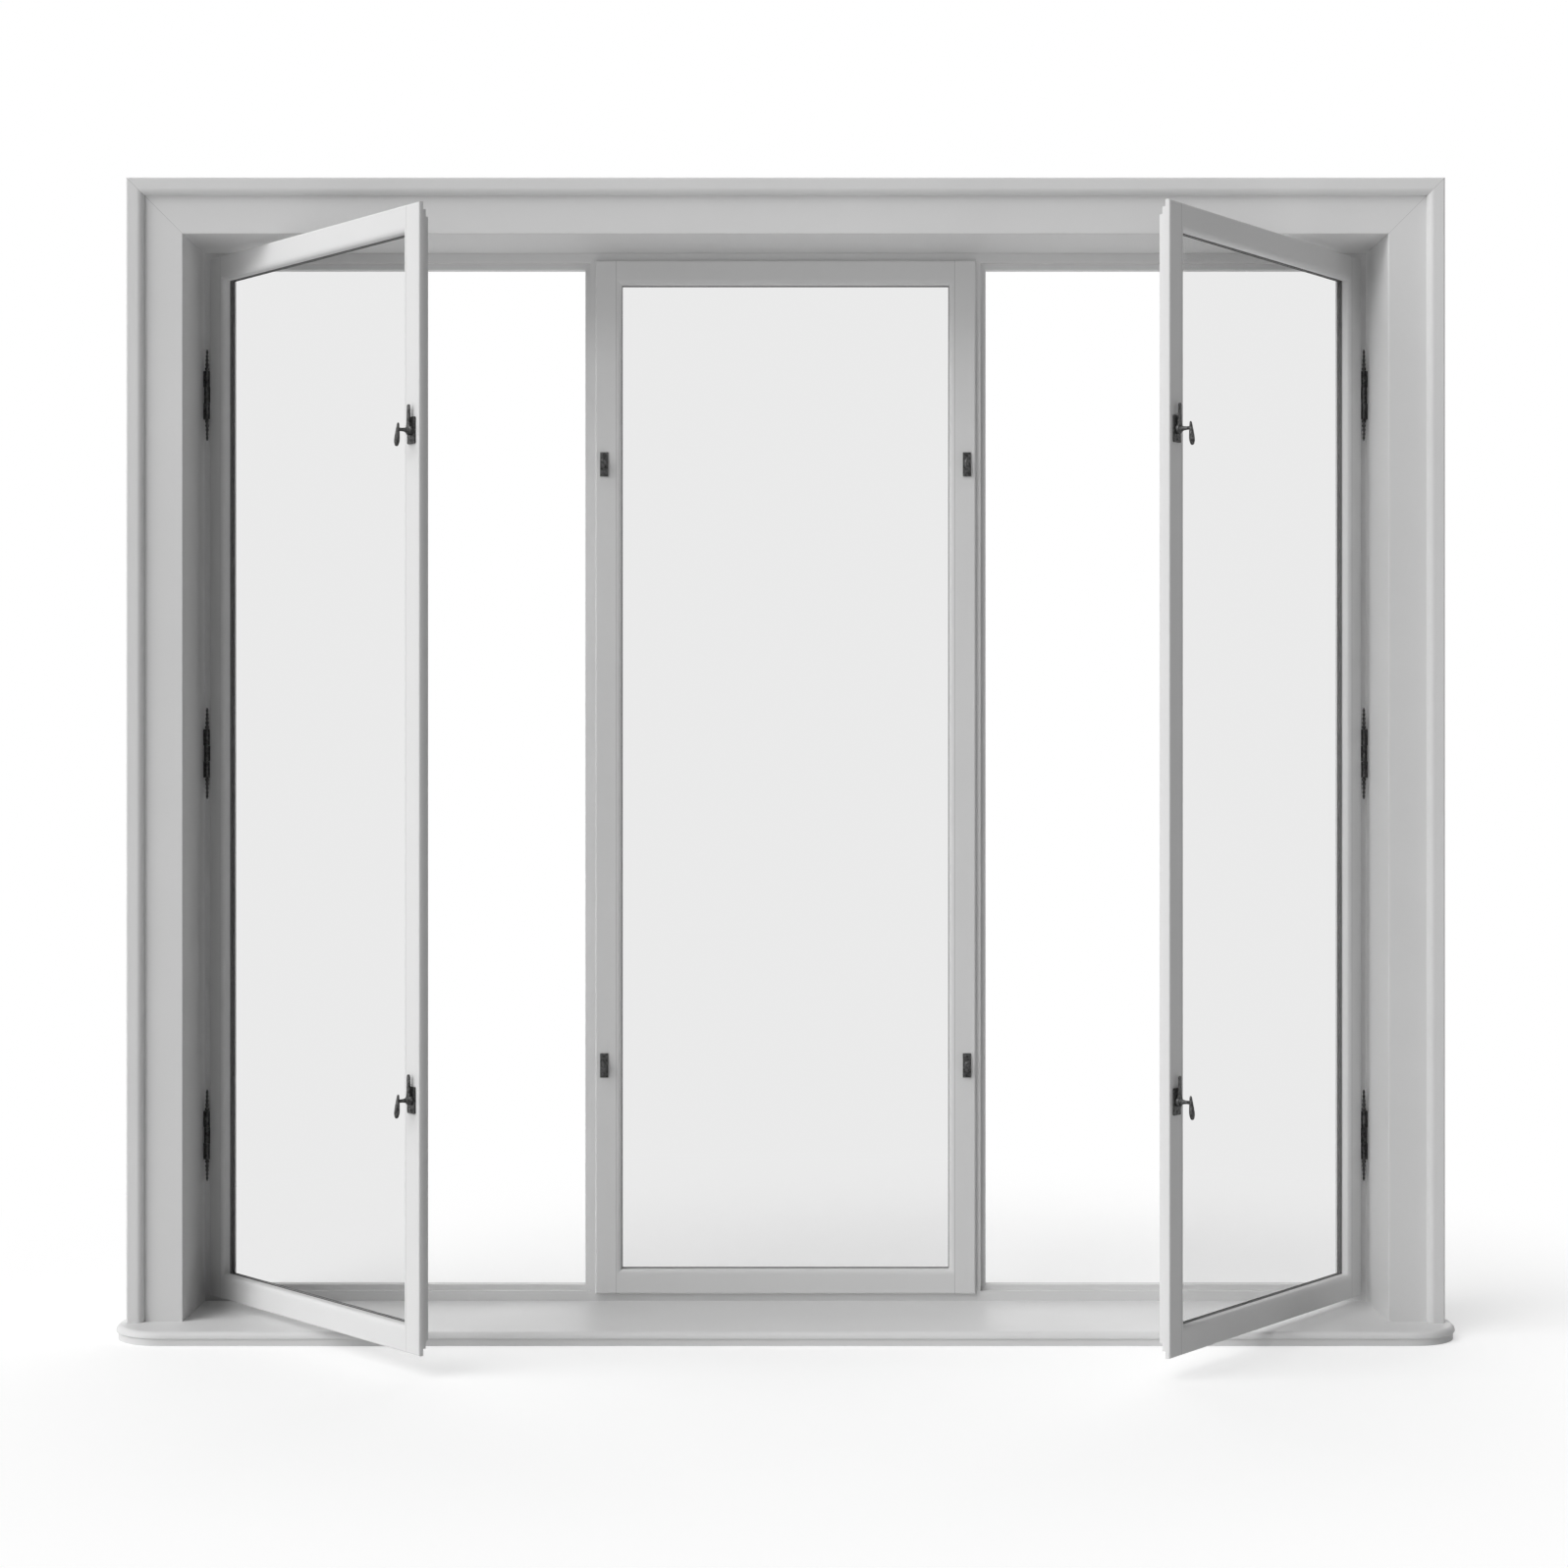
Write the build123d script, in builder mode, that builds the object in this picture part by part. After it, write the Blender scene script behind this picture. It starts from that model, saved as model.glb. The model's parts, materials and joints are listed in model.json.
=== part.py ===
"""Three-light casement window in a cased opening.

X runs along the wall, Y from the room towards the open air, Z up.
The origin lies on the wall plane at mid-width, on the underside of the window board.
Lengths are millimetres, angles degrees.  Both casements stand open, as at rest.
"""

import math
import os

from build123d import *

os.makedirs("parts", exist_ok=True)

# Cased opening
clear_width = 1927.0
soffit_height = 1761.0
lining_thickness = 20.0
lining_depth = 154.0

# Casing: a flat board with a back band round its outer edge
casing_board_width = 61.0
casing_board_thickness = 20.0
casing_arris = 1.5
backband_width = 27.0
backband_ovolo = 10.0
backband_quirk = 2.0
backband_arris = 3.0

# Window board with rounded horns and a nose of two bands
board_projection = 104.0
board_horn = 15.5
board_corner_radius = 82.0
board_lower_band = 11.5
board_upper_band = 11.0
board_band_step = 3.0
board_nose_radius = 9.0
board_bead_chamfer = 1.0

# Window frame: a face and a stop that stands further into each light
frame_face = 16.0
stop_width = 9.0
stop_depth = 20.0

# Sash section: a lip over the frame, a body in the rebate and a back that reaches past the stop
lip_thickness = 7.5
body_thickness = 10.0
back_thickness = 10.0
lip_lap = 3.5
sash_arris = 2.5
stile_face_width = 34.75
rail_face_width = 31.5
moulding_width = 9.0
moulding_depth = 5.0
moulding_flat_count = 4
sight_edge = 12.0
glass_thickness = 4.0
glass_bite = 7.0
glass_edge_gap = 1.0
rear_chamfer = 4.5
seal_groove_width = 3.3
seal_groove_depth = 3.5

# Room that a moving sash keeps to the frame and to its neighbour
running_gap = 5.0

# Casements at rest
left_open_angle = 49.6
right_open_angle = 52.3

# Hinges
hinge_heights = (299.0, 931.0, 1524.0)
hinge_axis_inset = 6.25
hinge_axis_proud = 1.0
knuckle_radius = 4.5
knuckle_length = 26.6
knuckle_gap = 0.4
pin_radius = 2.0
pin_clearance = 0.3
leaf_thickness = 2.4
leaf_clearance = 1.0
finial_neck = 2.4
finial_bead = 3.7
finial_bead_length = 4.5
finial_acorn = 3.4
finial_acorn_length = 27.0
finial_acorn_swell = 6.0
finial_tip = 0.9
flat_count = 16

# Cockspur handles and their keepers
handle_heights = (414.0, 1410.0)
handle_edge_distance = 18.5
plate_width = 20.0
plate_height = 40.0
plate_thickness = 2.6
plate_corner = 1.2
spindle_radius = 3.0
spindle_clearance = 0.3
boss_radius = 7.5
boss_thickness = 5.5
tongue_length = 38.5
tongue_root_width = 9.0
tongue_tip_width = 5.6
tongue_thickness = 4.0
tongue_lift = 1.4
tongue_slant = 3.0
shank_root_radius = 4.4
shank_radius = 2.9
shank_length = 16.0
grip_length = 35.5
grip_above_shank = 10.0
grip_top_radius = 1.9
grip_radius = 4.2
grip_lean = 5.0
keeper_width = 13.5
keeper_height = 40.0
keeper_thickness = 2.4
keeper_edge_distance = 14.8
hook_width = 10.0
hook_height = 19.0
hook_thickness = 3.0
hook_corner = 3.0
hook_wall = 2.2
hook_clearance = 2.8

# Shared places
half_clear = clear_width / 2
board_thickness = board_lower_band + board_upper_band
casing_width = casing_board_width + backband_width
backband_front = casing_board_thickness + backband_quirk + backband_ovolo
rebate_depth = body_thickness
body_back = lip_thickness + body_thickness
sash_thickness = body_back + back_thickness
frame_edge = half_clear - frame_face
rebate_bottom = board_thickness + frame_face
rebate_top = soffit_height - frame_face
mullion_face = 2 * lip_lap + running_gap
rebate_width = (2 * frame_edge - 2 * mullion_face) / 3
sash_width = rebate_width + 2 * lip_lap
sash_bottom = rebate_bottom - lip_lap
sash_height = rebate_top + lip_lap - sash_bottom
sash_setback = lip_lap + running_gap
back_setback = sash_setback + stop_width
glass_front = moulding_depth + sight_edge
glass_back = glass_front + glass_thickness
fixed_face = lining_depth - lip_thickness
closed_face = fixed_face - running_gap
barrel_length = 3 * knuckle_length
hinge_axis_x = half_clear - hinge_axis_inset
hinge_axis_y = closed_face - hinge_axis_proud
hinge_edge_offset = hinge_axis_x - (frame_edge + lip_lap)
past = 5.0


def save(part, name):
    """Label a finished piece and write it to its own file."""
    part.label = name
    export_step(part, f"parts/{name}.step")


def mirrored(part):
    """The same piece on the other side of the window."""
    with BuildPart() as other:
        add(part)
        mirror(about=Plane.YZ, mode=Mode.REPLACE)
    return other.part


# Casing and back band, drawn as (distance from the opening, distance from the wall)
def casing_board_section():
    """Flat board with an eased inner arris."""
    with BuildSketch() as section:
        with BuildLine():
            Polyline(
                (casing_arris, -casing_board_thickness),
                (casing_board_width, -casing_board_thickness),
                (casing_board_width, 0),
                (0, 0),
                (0, casing_arris - casing_board_thickness),
            )
            CenterArc((casing_arris, casing_arris - casing_board_thickness), casing_arris, 180, 90)
        make_face()
    return section.sketch


def backband_section():
    """Back band: quirk and ovolo on the inner side, eased outer arris."""
    ovolo_foot = casing_board_thickness + backband_quirk
    outer_arris = (casing_width - backband_arris, backband_arris - backband_front)
    with BuildSketch() as section:
        with BuildLine():
            Line((casing_board_width, 0), (casing_board_width, -ovolo_foot))
            CenterArc((casing_board_width + backband_ovolo, -ovolo_foot), backband_ovolo, 180, 90)
            Line(
                (casing_board_width + backband_ovolo, -backband_front),
                (casing_width - backband_arris, -backband_front),
            )
            CenterArc(outer_arris, backband_arris, 270, 90)
            Polyline(
                (casing_width, backband_arris - backband_front),
                (casing_width, 0),
                (casing_board_width, 0),
            )
        make_face()
    return section.sketch


leg_plane = Plane(origin=(half_clear, 0, board_thickness), x_dir=(1, 0, 0), z_dir=(0, 0, 1))
head_plane = Plane(
    origin=(half_clear + casing_width, 0, soffit_height), x_dir=(0, 0, 1), z_dir=(-1, 0, 0)
)
right_mitre = Plane(origin=(half_clear, 0, soffit_height), z_dir=(-1, 0, 1))
left_mitre = Plane(origin=(-half_clear, 0, soffit_height), z_dir=(1, 0, 1))


def casing_leg(section):
    """Right leg of the casing, standing on the window board and mitred at the head."""
    with BuildPart() as leg:
        with BuildSketch(leg_plane):
            add(section)
        extrude(amount=soffit_height + casing_width - board_thickness)
        split(bisect_by=right_mitre, keep=Keep.BOTTOM)
    return leg.part


def casing_head(section):
    """Head of the casing, mitred at both ends."""
    with BuildPart() as head:
        with BuildSketch(head_plane):
            add(section)
        extrude(amount=2 * (half_clear + casing_width))
        split(bisect_by=right_mitre, keep=Keep.TOP)
        split(bisect_by=left_mitre, keep=Keep.TOP)
    return head.part


for name, section in (("casing", casing_board_section()), ("backband", backband_section())):
    leg = casing_leg(section)
    save(leg, f"{name}_right")
    save(mirrored(leg), f"{name}_left")
    save(casing_head(section), f"{name}_head")


# Reveal linings
with BuildPart() as jamb_lining:
    with BuildSketch(Plane.XY.offset(board_thickness)):
        with Locations((half_clear, 0)):
            Rectangle(lining_thickness, lining_depth, align=(Align.MIN, Align.MIN))
    extrude(amount=soffit_height - board_thickness)
save(jamb_lining.part, "jamb_lining_right")
save(mirrored(jamb_lining.part), "jamb_lining_left")

with BuildPart() as head_lining:
    with BuildSketch(Plane.XY.offset(soffit_height)):
        Rectangle(2 * (half_clear + lining_thickness), lining_depth, align=(Align.CENTER, Align.MIN))
    extrude(amount=lining_thickness)
save(head_lining.part, "head_lining")


# Window board
def board_outline(inset):
    """Plan of one band of the board: a nose with round corners, and a tongue between the linings."""
    nose_width = 2 * (half_clear + casing_width + board_horn - inset)
    nose_depth = board_projection - inset
    with BuildSketch() as outline:
        Rectangle(nose_width, nose_depth, align=(Align.CENTER, Align.MAX))
        fillet(outline.vertices().group_by(Axis.Y)[0], board_corner_radius - inset)
        Rectangle(2 * (half_clear + lining_thickness), lining_depth, align=(Align.CENTER, Align.MIN))
    return outline.sketch


lower_band_outline = board_outline(board_band_step)
upper_band_outline = board_outline(0)
with BuildPart() as window_board:
    with BuildSketch():
        add(lower_band_outline)
    extrude(amount=board_lower_band)
    with BuildSketch(Plane.XY.offset(board_lower_band)):
        add(upper_band_outline)
    extrude(amount=board_upper_band)
    top_edges = window_board.faces().sort_by(Axis.Z)[-1].edges()
    fillet(top_edges.filter_by(lambda edge: edge.center().Y < -1), board_nose_radius)
    bead_edges = window_board.edges().filter_by_position(Axis.Z, board_lower_band, board_lower_band)
    nose_line = -board_projection + board_band_step / 2
    end_line = half_clear + casing_width + board_horn - board_band_step / 2
    chamfer(
        bead_edges.filter_by(
            lambda edge: edge.center().Y < nose_line
            or (edge.center().Y < -1 and abs(edge.center().X) > end_line)
            or (edge.geom_type == GeomType.CIRCLE and edge.radius > board_corner_radius - board_band_step / 2)
        ),
        board_bead_chamfer,
    )
save(window_board.part, "window_board")


# Window frame
def frame_section(outer):
    """Section of a perimeter member, from the inner edge of its stop to its outer edge."""
    with BuildSketch() as section:
        with BuildLine():
            Polyline(
                (0, rebate_depth),
                (stop_width, rebate_depth),
                (stop_width, 0),
                (stop_width + outer, 0),
                (stop_width + outer, rebate_depth + stop_depth),
                (0, rebate_depth + stop_depth),
                close=True,
            )
        make_face()
    return section.sketch


jamb_section = frame_section(frame_face + lining_thickness)
bottom_section = frame_section(frame_face + board_thickness)
frame_half_width = half_clear + lining_thickness
upper_right_cut = Plane(origin=(frame_edge, 0, rebate_top), z_dir=(-1, 0, 1))
upper_left_cut = Plane(origin=(-frame_edge, 0, rebate_top), z_dir=(1, 0, 1))
lower_right_cut = Plane(origin=(frame_edge, 0, rebate_bottom), z_dir=(-1, 0, -1))
lower_left_cut = Plane(origin=(-frame_edge, 0, rebate_bottom), z_dir=(1, 0, -1))

jamb_plane = Plane(origin=(frame_edge - stop_width, lining_depth, 0), x_dir=(1, 0, 0), z_dir=(0, 0, 1))
with BuildPart() as frame_jamb:
    with BuildSketch(jamb_plane):
        add(jamb_section)
    extrude(amount=soffit_height + lining_thickness)
    split(bisect_by=upper_right_cut, keep=Keep.BOTTOM)
    split(bisect_by=lower_right_cut, keep=Keep.BOTTOM)
save(frame_jamb.part, "frame_jamb_right")
save(mirrored(frame_jamb.part), "frame_jamb_left")

frame_head_plane = Plane(
    origin=(frame_half_width, lining_depth, rebate_top - stop_width), x_dir=(0, 0, 1), z_dir=(-1, 0, 0)
)
with BuildPart() as frame_head:
    with BuildSketch(frame_head_plane):
        add(jamb_section)
    extrude(amount=2 * frame_half_width)
    split(bisect_by=upper_right_cut, keep=Keep.TOP)
    split(bisect_by=upper_left_cut, keep=Keep.TOP)
save(frame_head.part, "frame_head")

frame_bottom_plane = Plane(
    origin=(-frame_half_width, lining_depth, rebate_bottom + stop_width), x_dir=(0, 0, -1), z_dir=(1, 0, 0)
)
with BuildPart() as frame_bottom_rail:
    with BuildSketch(frame_bottom_plane):
        add(bottom_section)
    extrude(amount=2 * frame_half_width)
    split(bisect_by=lower_right_cut, keep=Keep.TOP)
    split(bisect_by=lower_left_cut, keep=Keep.TOP)
save(frame_bottom_rail.part, "frame_bottom_rail")

mullion_centre = (rebate_width + mullion_face) / 2
with BuildPart() as mullion:
    with BuildSketch(Plane.XY.offset(rebate_bottom)):
        with Locations((mullion_centre, lining_depth)):
            Rectangle(mullion_face, rebate_depth, align=(Align.CENTER, Align.MIN))
    extrude(amount=rebate_top - rebate_bottom)
    with BuildSketch(Plane.XY.offset(rebate_bottom + stop_width)):
        with Locations((mullion_centre, lining_depth + rebate_depth)):
            Rectangle(mullion_face + 2 * stop_width, stop_depth, align=(Align.CENTER, Align.MIN))
    extrude(amount=rebate_top - rebate_bottom - 2 * stop_width)
save(mullion.part, "mullion_right")
save(mirrored(mullion.part), "mullion_left")


# Sashes.  A sash plane has its origin at the lower left corner of the room face,
# x along the bottom edge, y towards the open air and z up.
def sash_plane(left_edge, face, pivot_x=0.0, swing=0.0):
    """Plane of a sash whose closed left edge and room face are given, swung about its hinge."""
    pivot = Vector(pivot_x, hinge_axis_y, sash_bottom)
    corner = pivot + (Vector(left_edge, face, sash_bottom) - pivot).rotate(Axis.Z, swing)
    return Plane(origin=corner, x_dir=Vector(1, 0, 0).rotate(Axis.Z, swing), z_dir=(0, 0, 1))


def front_of(plane):
    """Elevation of a sash seen from the room: x along it, y up, z into the room."""
    return Plane(origin=plane.origin, x_dir=plane.x_dir, z_dir=-plane.y_dir)


def side_of(plane):
    """Cross section of a sash: x towards the open air, y up, z along the sash."""
    return Plane(origin=plane.origin, x_dir=plane.y_dir, z_dir=plane.x_dir)


def eased_corner():
    """Points of the eased outer edge, from its side to the room face."""
    middle = sash_arris * (1 - math.sqrt(0.5))
    return [(0, sash_arris), (middle, middle), (sash_arris, 0)]


def moulded_edge(face_width):
    """Points of the round moulding that falls from the room face towards the glass."""
    turns = [math.radians(90 * step / moulding_flat_count) for step in range(moulding_flat_count + 1)]
    return [
        (face_width + moulding_width * math.sin(turn), moulding_depth * (1 - math.cos(turn)))
        for turn in turns
    ]


def sash_section(face_width):
    """Points of the stepped sash section as (distance from the outer edge, depth from the room face)."""
    sight_width = face_width + moulding_width
    groove_back = lip_thickness + seal_groove_width
    groove_floor = sash_setback + seal_groove_depth
    return [
        *eased_corner(),
        *moulded_edge(face_width),
        (sight_width, glass_front),
        (sight_width - glass_bite, glass_front),
        (sight_width - glass_bite, glass_back),
        (sight_width, glass_back),
        (sight_width, sash_thickness - rear_chamfer),
        (sight_width - rear_chamfer, sash_thickness),
        (back_setback, sash_thickness),
        (back_setback, body_back),
        (sash_setback, body_back),
        (sash_setback, groove_back),
        (groove_floor, groove_back),
        (groove_floor, lip_thickness),
        (0, lip_thickness),
    ]


def sash_stile(plane, at_right):
    """Full-height stile: stepped at both ends, its moulding mitred into the rails."""

    def across(distance):
        return sash_width - distance if at_right else distance

    def upwards(distance, at_top):
        return sash_height - distance if at_top else distance

    with BuildPart() as stile:
        with BuildSketch(plane):
            with BuildLine():
                Polyline(*[(across(u), v) for u, v in sash_section(stile_face_width)], close=True)
            make_face()
        extrude(amount=sash_height)
        reach = moulding_width + past
        for at_top in (False, True):
            with BuildSketch(front_of(plane)):
                with BuildLine():
                    Polyline(
                        (across(stile_face_width), upwards(-past, at_top)),
                        (across(stile_face_width), upwards(rail_face_width, at_top)),
                        (across(stile_face_width + reach), upwards(rail_face_width + reach, at_top)),
                        (across(stile_face_width + reach), upwards(-past, at_top)),
                        close=True,
                    )
                make_face()
            extrude(amount=sash_thickness, both=True, mode=Mode.SUBTRACT)
            groove_back = lip_thickness + seal_groove_width
            with BuildSketch(side_of(plane)):
                with BuildLine():
                    Polyline(
                        (lip_thickness, upwards(-past, at_top)),
                        (lip_thickness, upwards(sash_setback + seal_groove_depth, at_top)),
                        (groove_back, upwards(sash_setback + seal_groove_depth, at_top)),
                        (groove_back, upwards(sash_setback, at_top)),
                        (body_back, upwards(sash_setback, at_top)),
                        (body_back, upwards(back_setback, at_top)),
                        (sash_thickness + past, upwards(back_setback, at_top)),
                        (sash_thickness + past, upwards(-past, at_top)),
                        close=True,
                    )
                make_face()
                with BuildLine():
                    Polyline(
                        (-past, upwards(sash_arris, at_top)),
                        *[(depth, upwards(inwards, at_top)) for depth, inwards in eased_corner()],
                        (sash_arris, upwards(-past, at_top)),
                        (-past, upwards(-past, at_top)),
                        close=True,
                    )
                make_face()
            extrude(amount=sash_width, both=True, mode=Mode.SUBTRACT)
    return stile.part


def sash_rail(plane, at_top):
    """Rail between the stiles, with the ends of its moulding mitred."""

    def upwards(distance):
        return sash_height - distance if at_top else distance

    with BuildPart() as rail:
        with BuildSketch(side_of(plane).offset(stile_face_width)):
            with BuildLine():
                Polyline(*[(v, upwards(u)) for u, v in sash_section(rail_face_width)], close=True)
            make_face()
        extrude(amount=sash_width - 2 * stile_face_width)
        reach = moulding_width + past
        for start, step in ((0, 1), (sash_width, -1)):
            with BuildSketch(front_of(plane)):
                with BuildLine():
                    Polyline(
                        (start + step * stile_face_width, upwards(rail_face_width)),
                        (start + step * (stile_face_width + reach), upwards(rail_face_width + reach)),
                        (start + step * (stile_face_width - past), upwards(rail_face_width + reach)),
                        (start + step * (stile_face_width - past), upwards(rail_face_width)),
                        close=True,
                    )
                make_face()
            extrude(amount=sash_thickness, both=True, mode=Mode.SUBTRACT)
    return rail.part


def sash_glass(plane):
    """Pane, held in the grooves of the stiles and rails."""
    margin = moulding_width - glass_bite + glass_edge_gap
    pane_width = sash_width - 2 * (stile_face_width + margin)
    pane_height = sash_height - 2 * (rail_face_width + margin)
    with BuildPart() as pane:
        with BuildSketch(front_of(plane).offset(-glass_back)):
            with Locations((sash_width / 2, sash_height / 2)):
                Rectangle(pane_width, pane_height)
        extrude(amount=glass_thickness)
    return pane.part


casement_edge = frame_edge + lip_lap
fixed_plane = sash_plane(-sash_width / 2, fixed_face)
left_plane = sash_plane(-casement_edge, closed_face, -hinge_axis_x, -left_open_angle)
right_plane = sash_plane(casement_edge - sash_width, closed_face, hinge_axis_x, right_open_angle)

for name, plane, left_stile, right_stile in (
    ("fixed", fixed_plane, "stile_left", "stile_right"),
    ("left", left_plane, "hinge_stile", "lock_stile"),
    ("right", right_plane, "lock_stile", "hinge_stile"),
):
    save(sash_stile(plane, False), f"{name}_{left_stile}")
    save(sash_stile(plane, True), f"{name}_{right_stile}")
    save(sash_rail(plane, False), f"{name}_bottom_rail")
    save(sash_rail(plane, True), f"{name}_top_rail")
    save(sash_glass(plane), f"{name}_glass")


# Turned furniture, worked to many small flats
def turned_length(plane, start_radius, end_radius, length):
    """One straight length of a turned piece, along a plane's normal."""
    with BuildPart() as ring:
        with BuildSketch(plane):
            RegularPolygon(start_radius, flat_count)
        extrude(amount=length)
        if start_radius != end_radius:
            slope = math.atan2((start_radius - end_radius) * math.cos(math.pi / flat_count), length)
            flats = ring.faces().filter_by(lambda face: abs(face.normal_at().dot(plane.z_dir)) < 0.5)
            draft(flats, plane, math.degrees(slope))
    return ring.part


def turned(plane, profile):
    """A turned piece along a plane's normal, from pairs of (radius, distance from the plane)."""
    lengths = [
        turned_length(plane.offset(start), start_radius, end_radius, end - start)
        for (start_radius, start), (end_radius, end) in zip(profile, profile[1:])
    ]
    with BuildPart() as piece:
        add(lengths)
    return piece.part


# Hinges
def finial_profile():
    """Two beads beside the barrel, then an acorn that tapers to its tip."""
    half_bead = finial_bead_length / 2
    profile = [(finial_neck, 0)]
    for bead in range(2):
        middle = bead * finial_bead_length + half_bead
        profile += [(finial_bead, middle), (finial_neck, middle + half_bead)]
    acorn_start = 2 * finial_bead_length
    acorn_end = acorn_start + finial_acorn_length
    profile += [(finial_acorn, acorn_start + finial_acorn_swell), (finial_tip, acorn_end)]
    return profile


def frame_leaves():
    """Left-hand hinge leaves on the jamb lining, with outer knuckles, pins and finials."""
    leaf_back = -half_clear
    notch = knuckle_radius + leaf_clearance
    leaf_width = lining_depth - hinge_axis_y - notch
    finial = finial_profile()
    with BuildPart() as leaves:
        for height in hinge_heights:
            base = height - barrel_length / 2
            with BuildSketch(Plane.XY.offset(base)):
                with Locations((leaf_back, hinge_axis_y + notch)):
                    Rectangle(leaf_thickness, leaf_width, align=(Align.MIN, Align.MIN))
            extrude(amount=barrel_length)
            for third in (base, base + 2 * knuckle_length + knuckle_gap):
                with BuildSketch(Plane.XY.offset(third)):
                    with Locations((-hinge_axis_x, hinge_axis_y)):
                        Circle(knuckle_radius)
                    with Locations((leaf_back, hinge_axis_y)):
                        Rectangle(leaf_thickness, notch, align=(Align.MIN, Align.MIN))
                extrude(amount=knuckle_length - knuckle_gap)
            with BuildSketch(Plane.XY.offset(base)):
                with Locations((-hinge_axis_x, hinge_axis_y)):
                    Circle(pin_radius)
            extrude(amount=barrel_length)
            for up in (1, -1):
                barrel_end = (-hinge_axis_x, hinge_axis_y, height + up * barrel_length / 2)
                add(turned(Plane(origin=barrel_end, z_dir=(0, 0, up)), finial))
    return leaves.part


def sash_leaves(plane, at_right):
    """Hinge leaves on a casement's edge, each with its middle knuckle bored for the pin."""
    outward = 1 if at_right else -1
    edge = sash_width if at_right else 0
    axis_place = (edge + outward * hinge_edge_offset, -hinge_axis_proud)
    leaf_middle = edge + outward * leaf_thickness / 2
    notch = knuckle_radius + leaf_clearance - hinge_axis_proud
    with BuildPart() as leaves:
        for height in hinge_heights:
            base = height - sash_bottom - barrel_length / 2
            with BuildSketch(plane.offset(base)):
                with Locations((leaf_middle, notch)):
                    Rectangle(leaf_thickness, lip_thickness - notch, align=(Align.CENTER, Align.MIN))
            extrude(amount=barrel_length)
            with BuildSketch(plane.offset(base + knuckle_length + knuckle_gap)):
                with Locations(axis_place):
                    Circle(knuckle_radius)
                with Locations((leaf_middle, -hinge_axis_proud)):
                    Rectangle(leaf_thickness, notch + hinge_axis_proud, align=(Align.CENTER, Align.MIN))
                with Locations(axis_place):
                    Circle(pin_radius + pin_clearance, mode=Mode.SUBTRACT)
            extrude(amount=knuckle_length - 2 * knuckle_gap)
    return leaves.part


hinge_leaves = frame_leaves()
save(hinge_leaves, "left_frame_hinges")
save(mirrored(hinge_leaves), "right_frame_hinges")
save(sash_leaves(left_plane, False), "left_sash_hinges")
save(sash_leaves(right_plane, True), "right_sash_hinges")


# Cockspur handles.  A handle plane lies on the room face at the pivot: x along the sash, y up, z out.
def handle_plane(plane, at_right, height):
    """Plane of a handle on the lock stile, which is the left or the right stile of its sash."""
    front = front_of(plane)
    along = sash_width - handle_edge_distance if at_right else handle_edge_distance
    centre = front.origin + front.x_dir * along + front.y_dir * (height - sash_bottom)
    return Plane(origin=centre, x_dir=front.x_dir, z_dir=front.z_dir)


def handle_plates(plane, at_right):
    """Back plates of a casement's handles, each bored for its spindle."""
    with BuildPart() as plates:
        for height in handle_heights:
            with BuildSketch(handle_plane(plane, at_right, height)):
                plate = Rectangle(plate_width, plate_height)
                chamfer(plate.vertices(), plate_corner)
                Circle(spindle_radius + spindle_clearance, mode=Mode.SUBTRACT)
            extrude(amount=plate_thickness)
    return plates.part


def grip_profile():
    """Drop-shaped grip, from its thin top to its round bottom."""
    belly = grip_length - 2 * grip_radius
    return [
        (grip_top_radius / 2, 0),
        (grip_top_radius, grip_top_radius),
        (grip_radius, belly),
        (grip_radius, belly + grip_radius),
        (grip_radius * 2 / 3, grip_length - grip_radius / 3),
        (grip_radius / 3, grip_length),
    ]


def handle(plane, at_right, height):
    """Turning part of a handle: spindle, boss, tongue, shank and grip in one casting."""
    seat = handle_plane(plane, at_right, height)
    boss_seat = plate_thickness + spindle_clearance
    boss_top = boss_seat + boss_thickness
    grip_reach = boss_top + shank_length
    shank = [(shank_root_radius, 0), (shank_radius, shank_length / 3), (shank_radius, shank_length)]
    grip_top = seat.origin + seat.z_dir * grip_reach + seat.y_dir * grip_above_shank
    lean = Plane(origin=grip_top, x_dir=seat.x_dir, z_dir=seat.z_dir).rotated((-grip_lean, 0, 0))
    grip_plane = Plane(origin=grip_top, x_dir=seat.x_dir, z_dir=-lean.y_dir)
    with BuildPart() as casting:
        add(turned(seat, [(spindle_radius, 0), (spindle_radius, boss_seat)]))
        add(turned(seat.offset(boss_seat), [(boss_radius, 0), (boss_radius, boss_thickness)]))
        with BuildSketch(seat.offset(boss_seat + tongue_lift)):
            with BuildLine():
                Polyline(
                    (-tongue_root_width / 2, 0),
                    (tongue_root_width / 2, 0),
                    (tongue_tip_width / 2, tongue_length - tongue_slant),
                    (-tongue_tip_width / 2, tongue_length),
                    close=True,
                )
            make_face()
        extrude(amount=tongue_thickness)
        add(turned(seat.offset(boss_top), shank))
        add(turned(grip_plane, grip_profile()))
    return casting.part


for name, plane, at_right in (("left", left_plane, True), ("right", right_plane, False)):
    save(handle_plates(plane, at_right), f"{name}_handle_plates")
    for place, height in zip(("lower", "upper"), handle_heights):
        save(handle(plane, at_right, height), f"{name}_{place}_handle")


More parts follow.
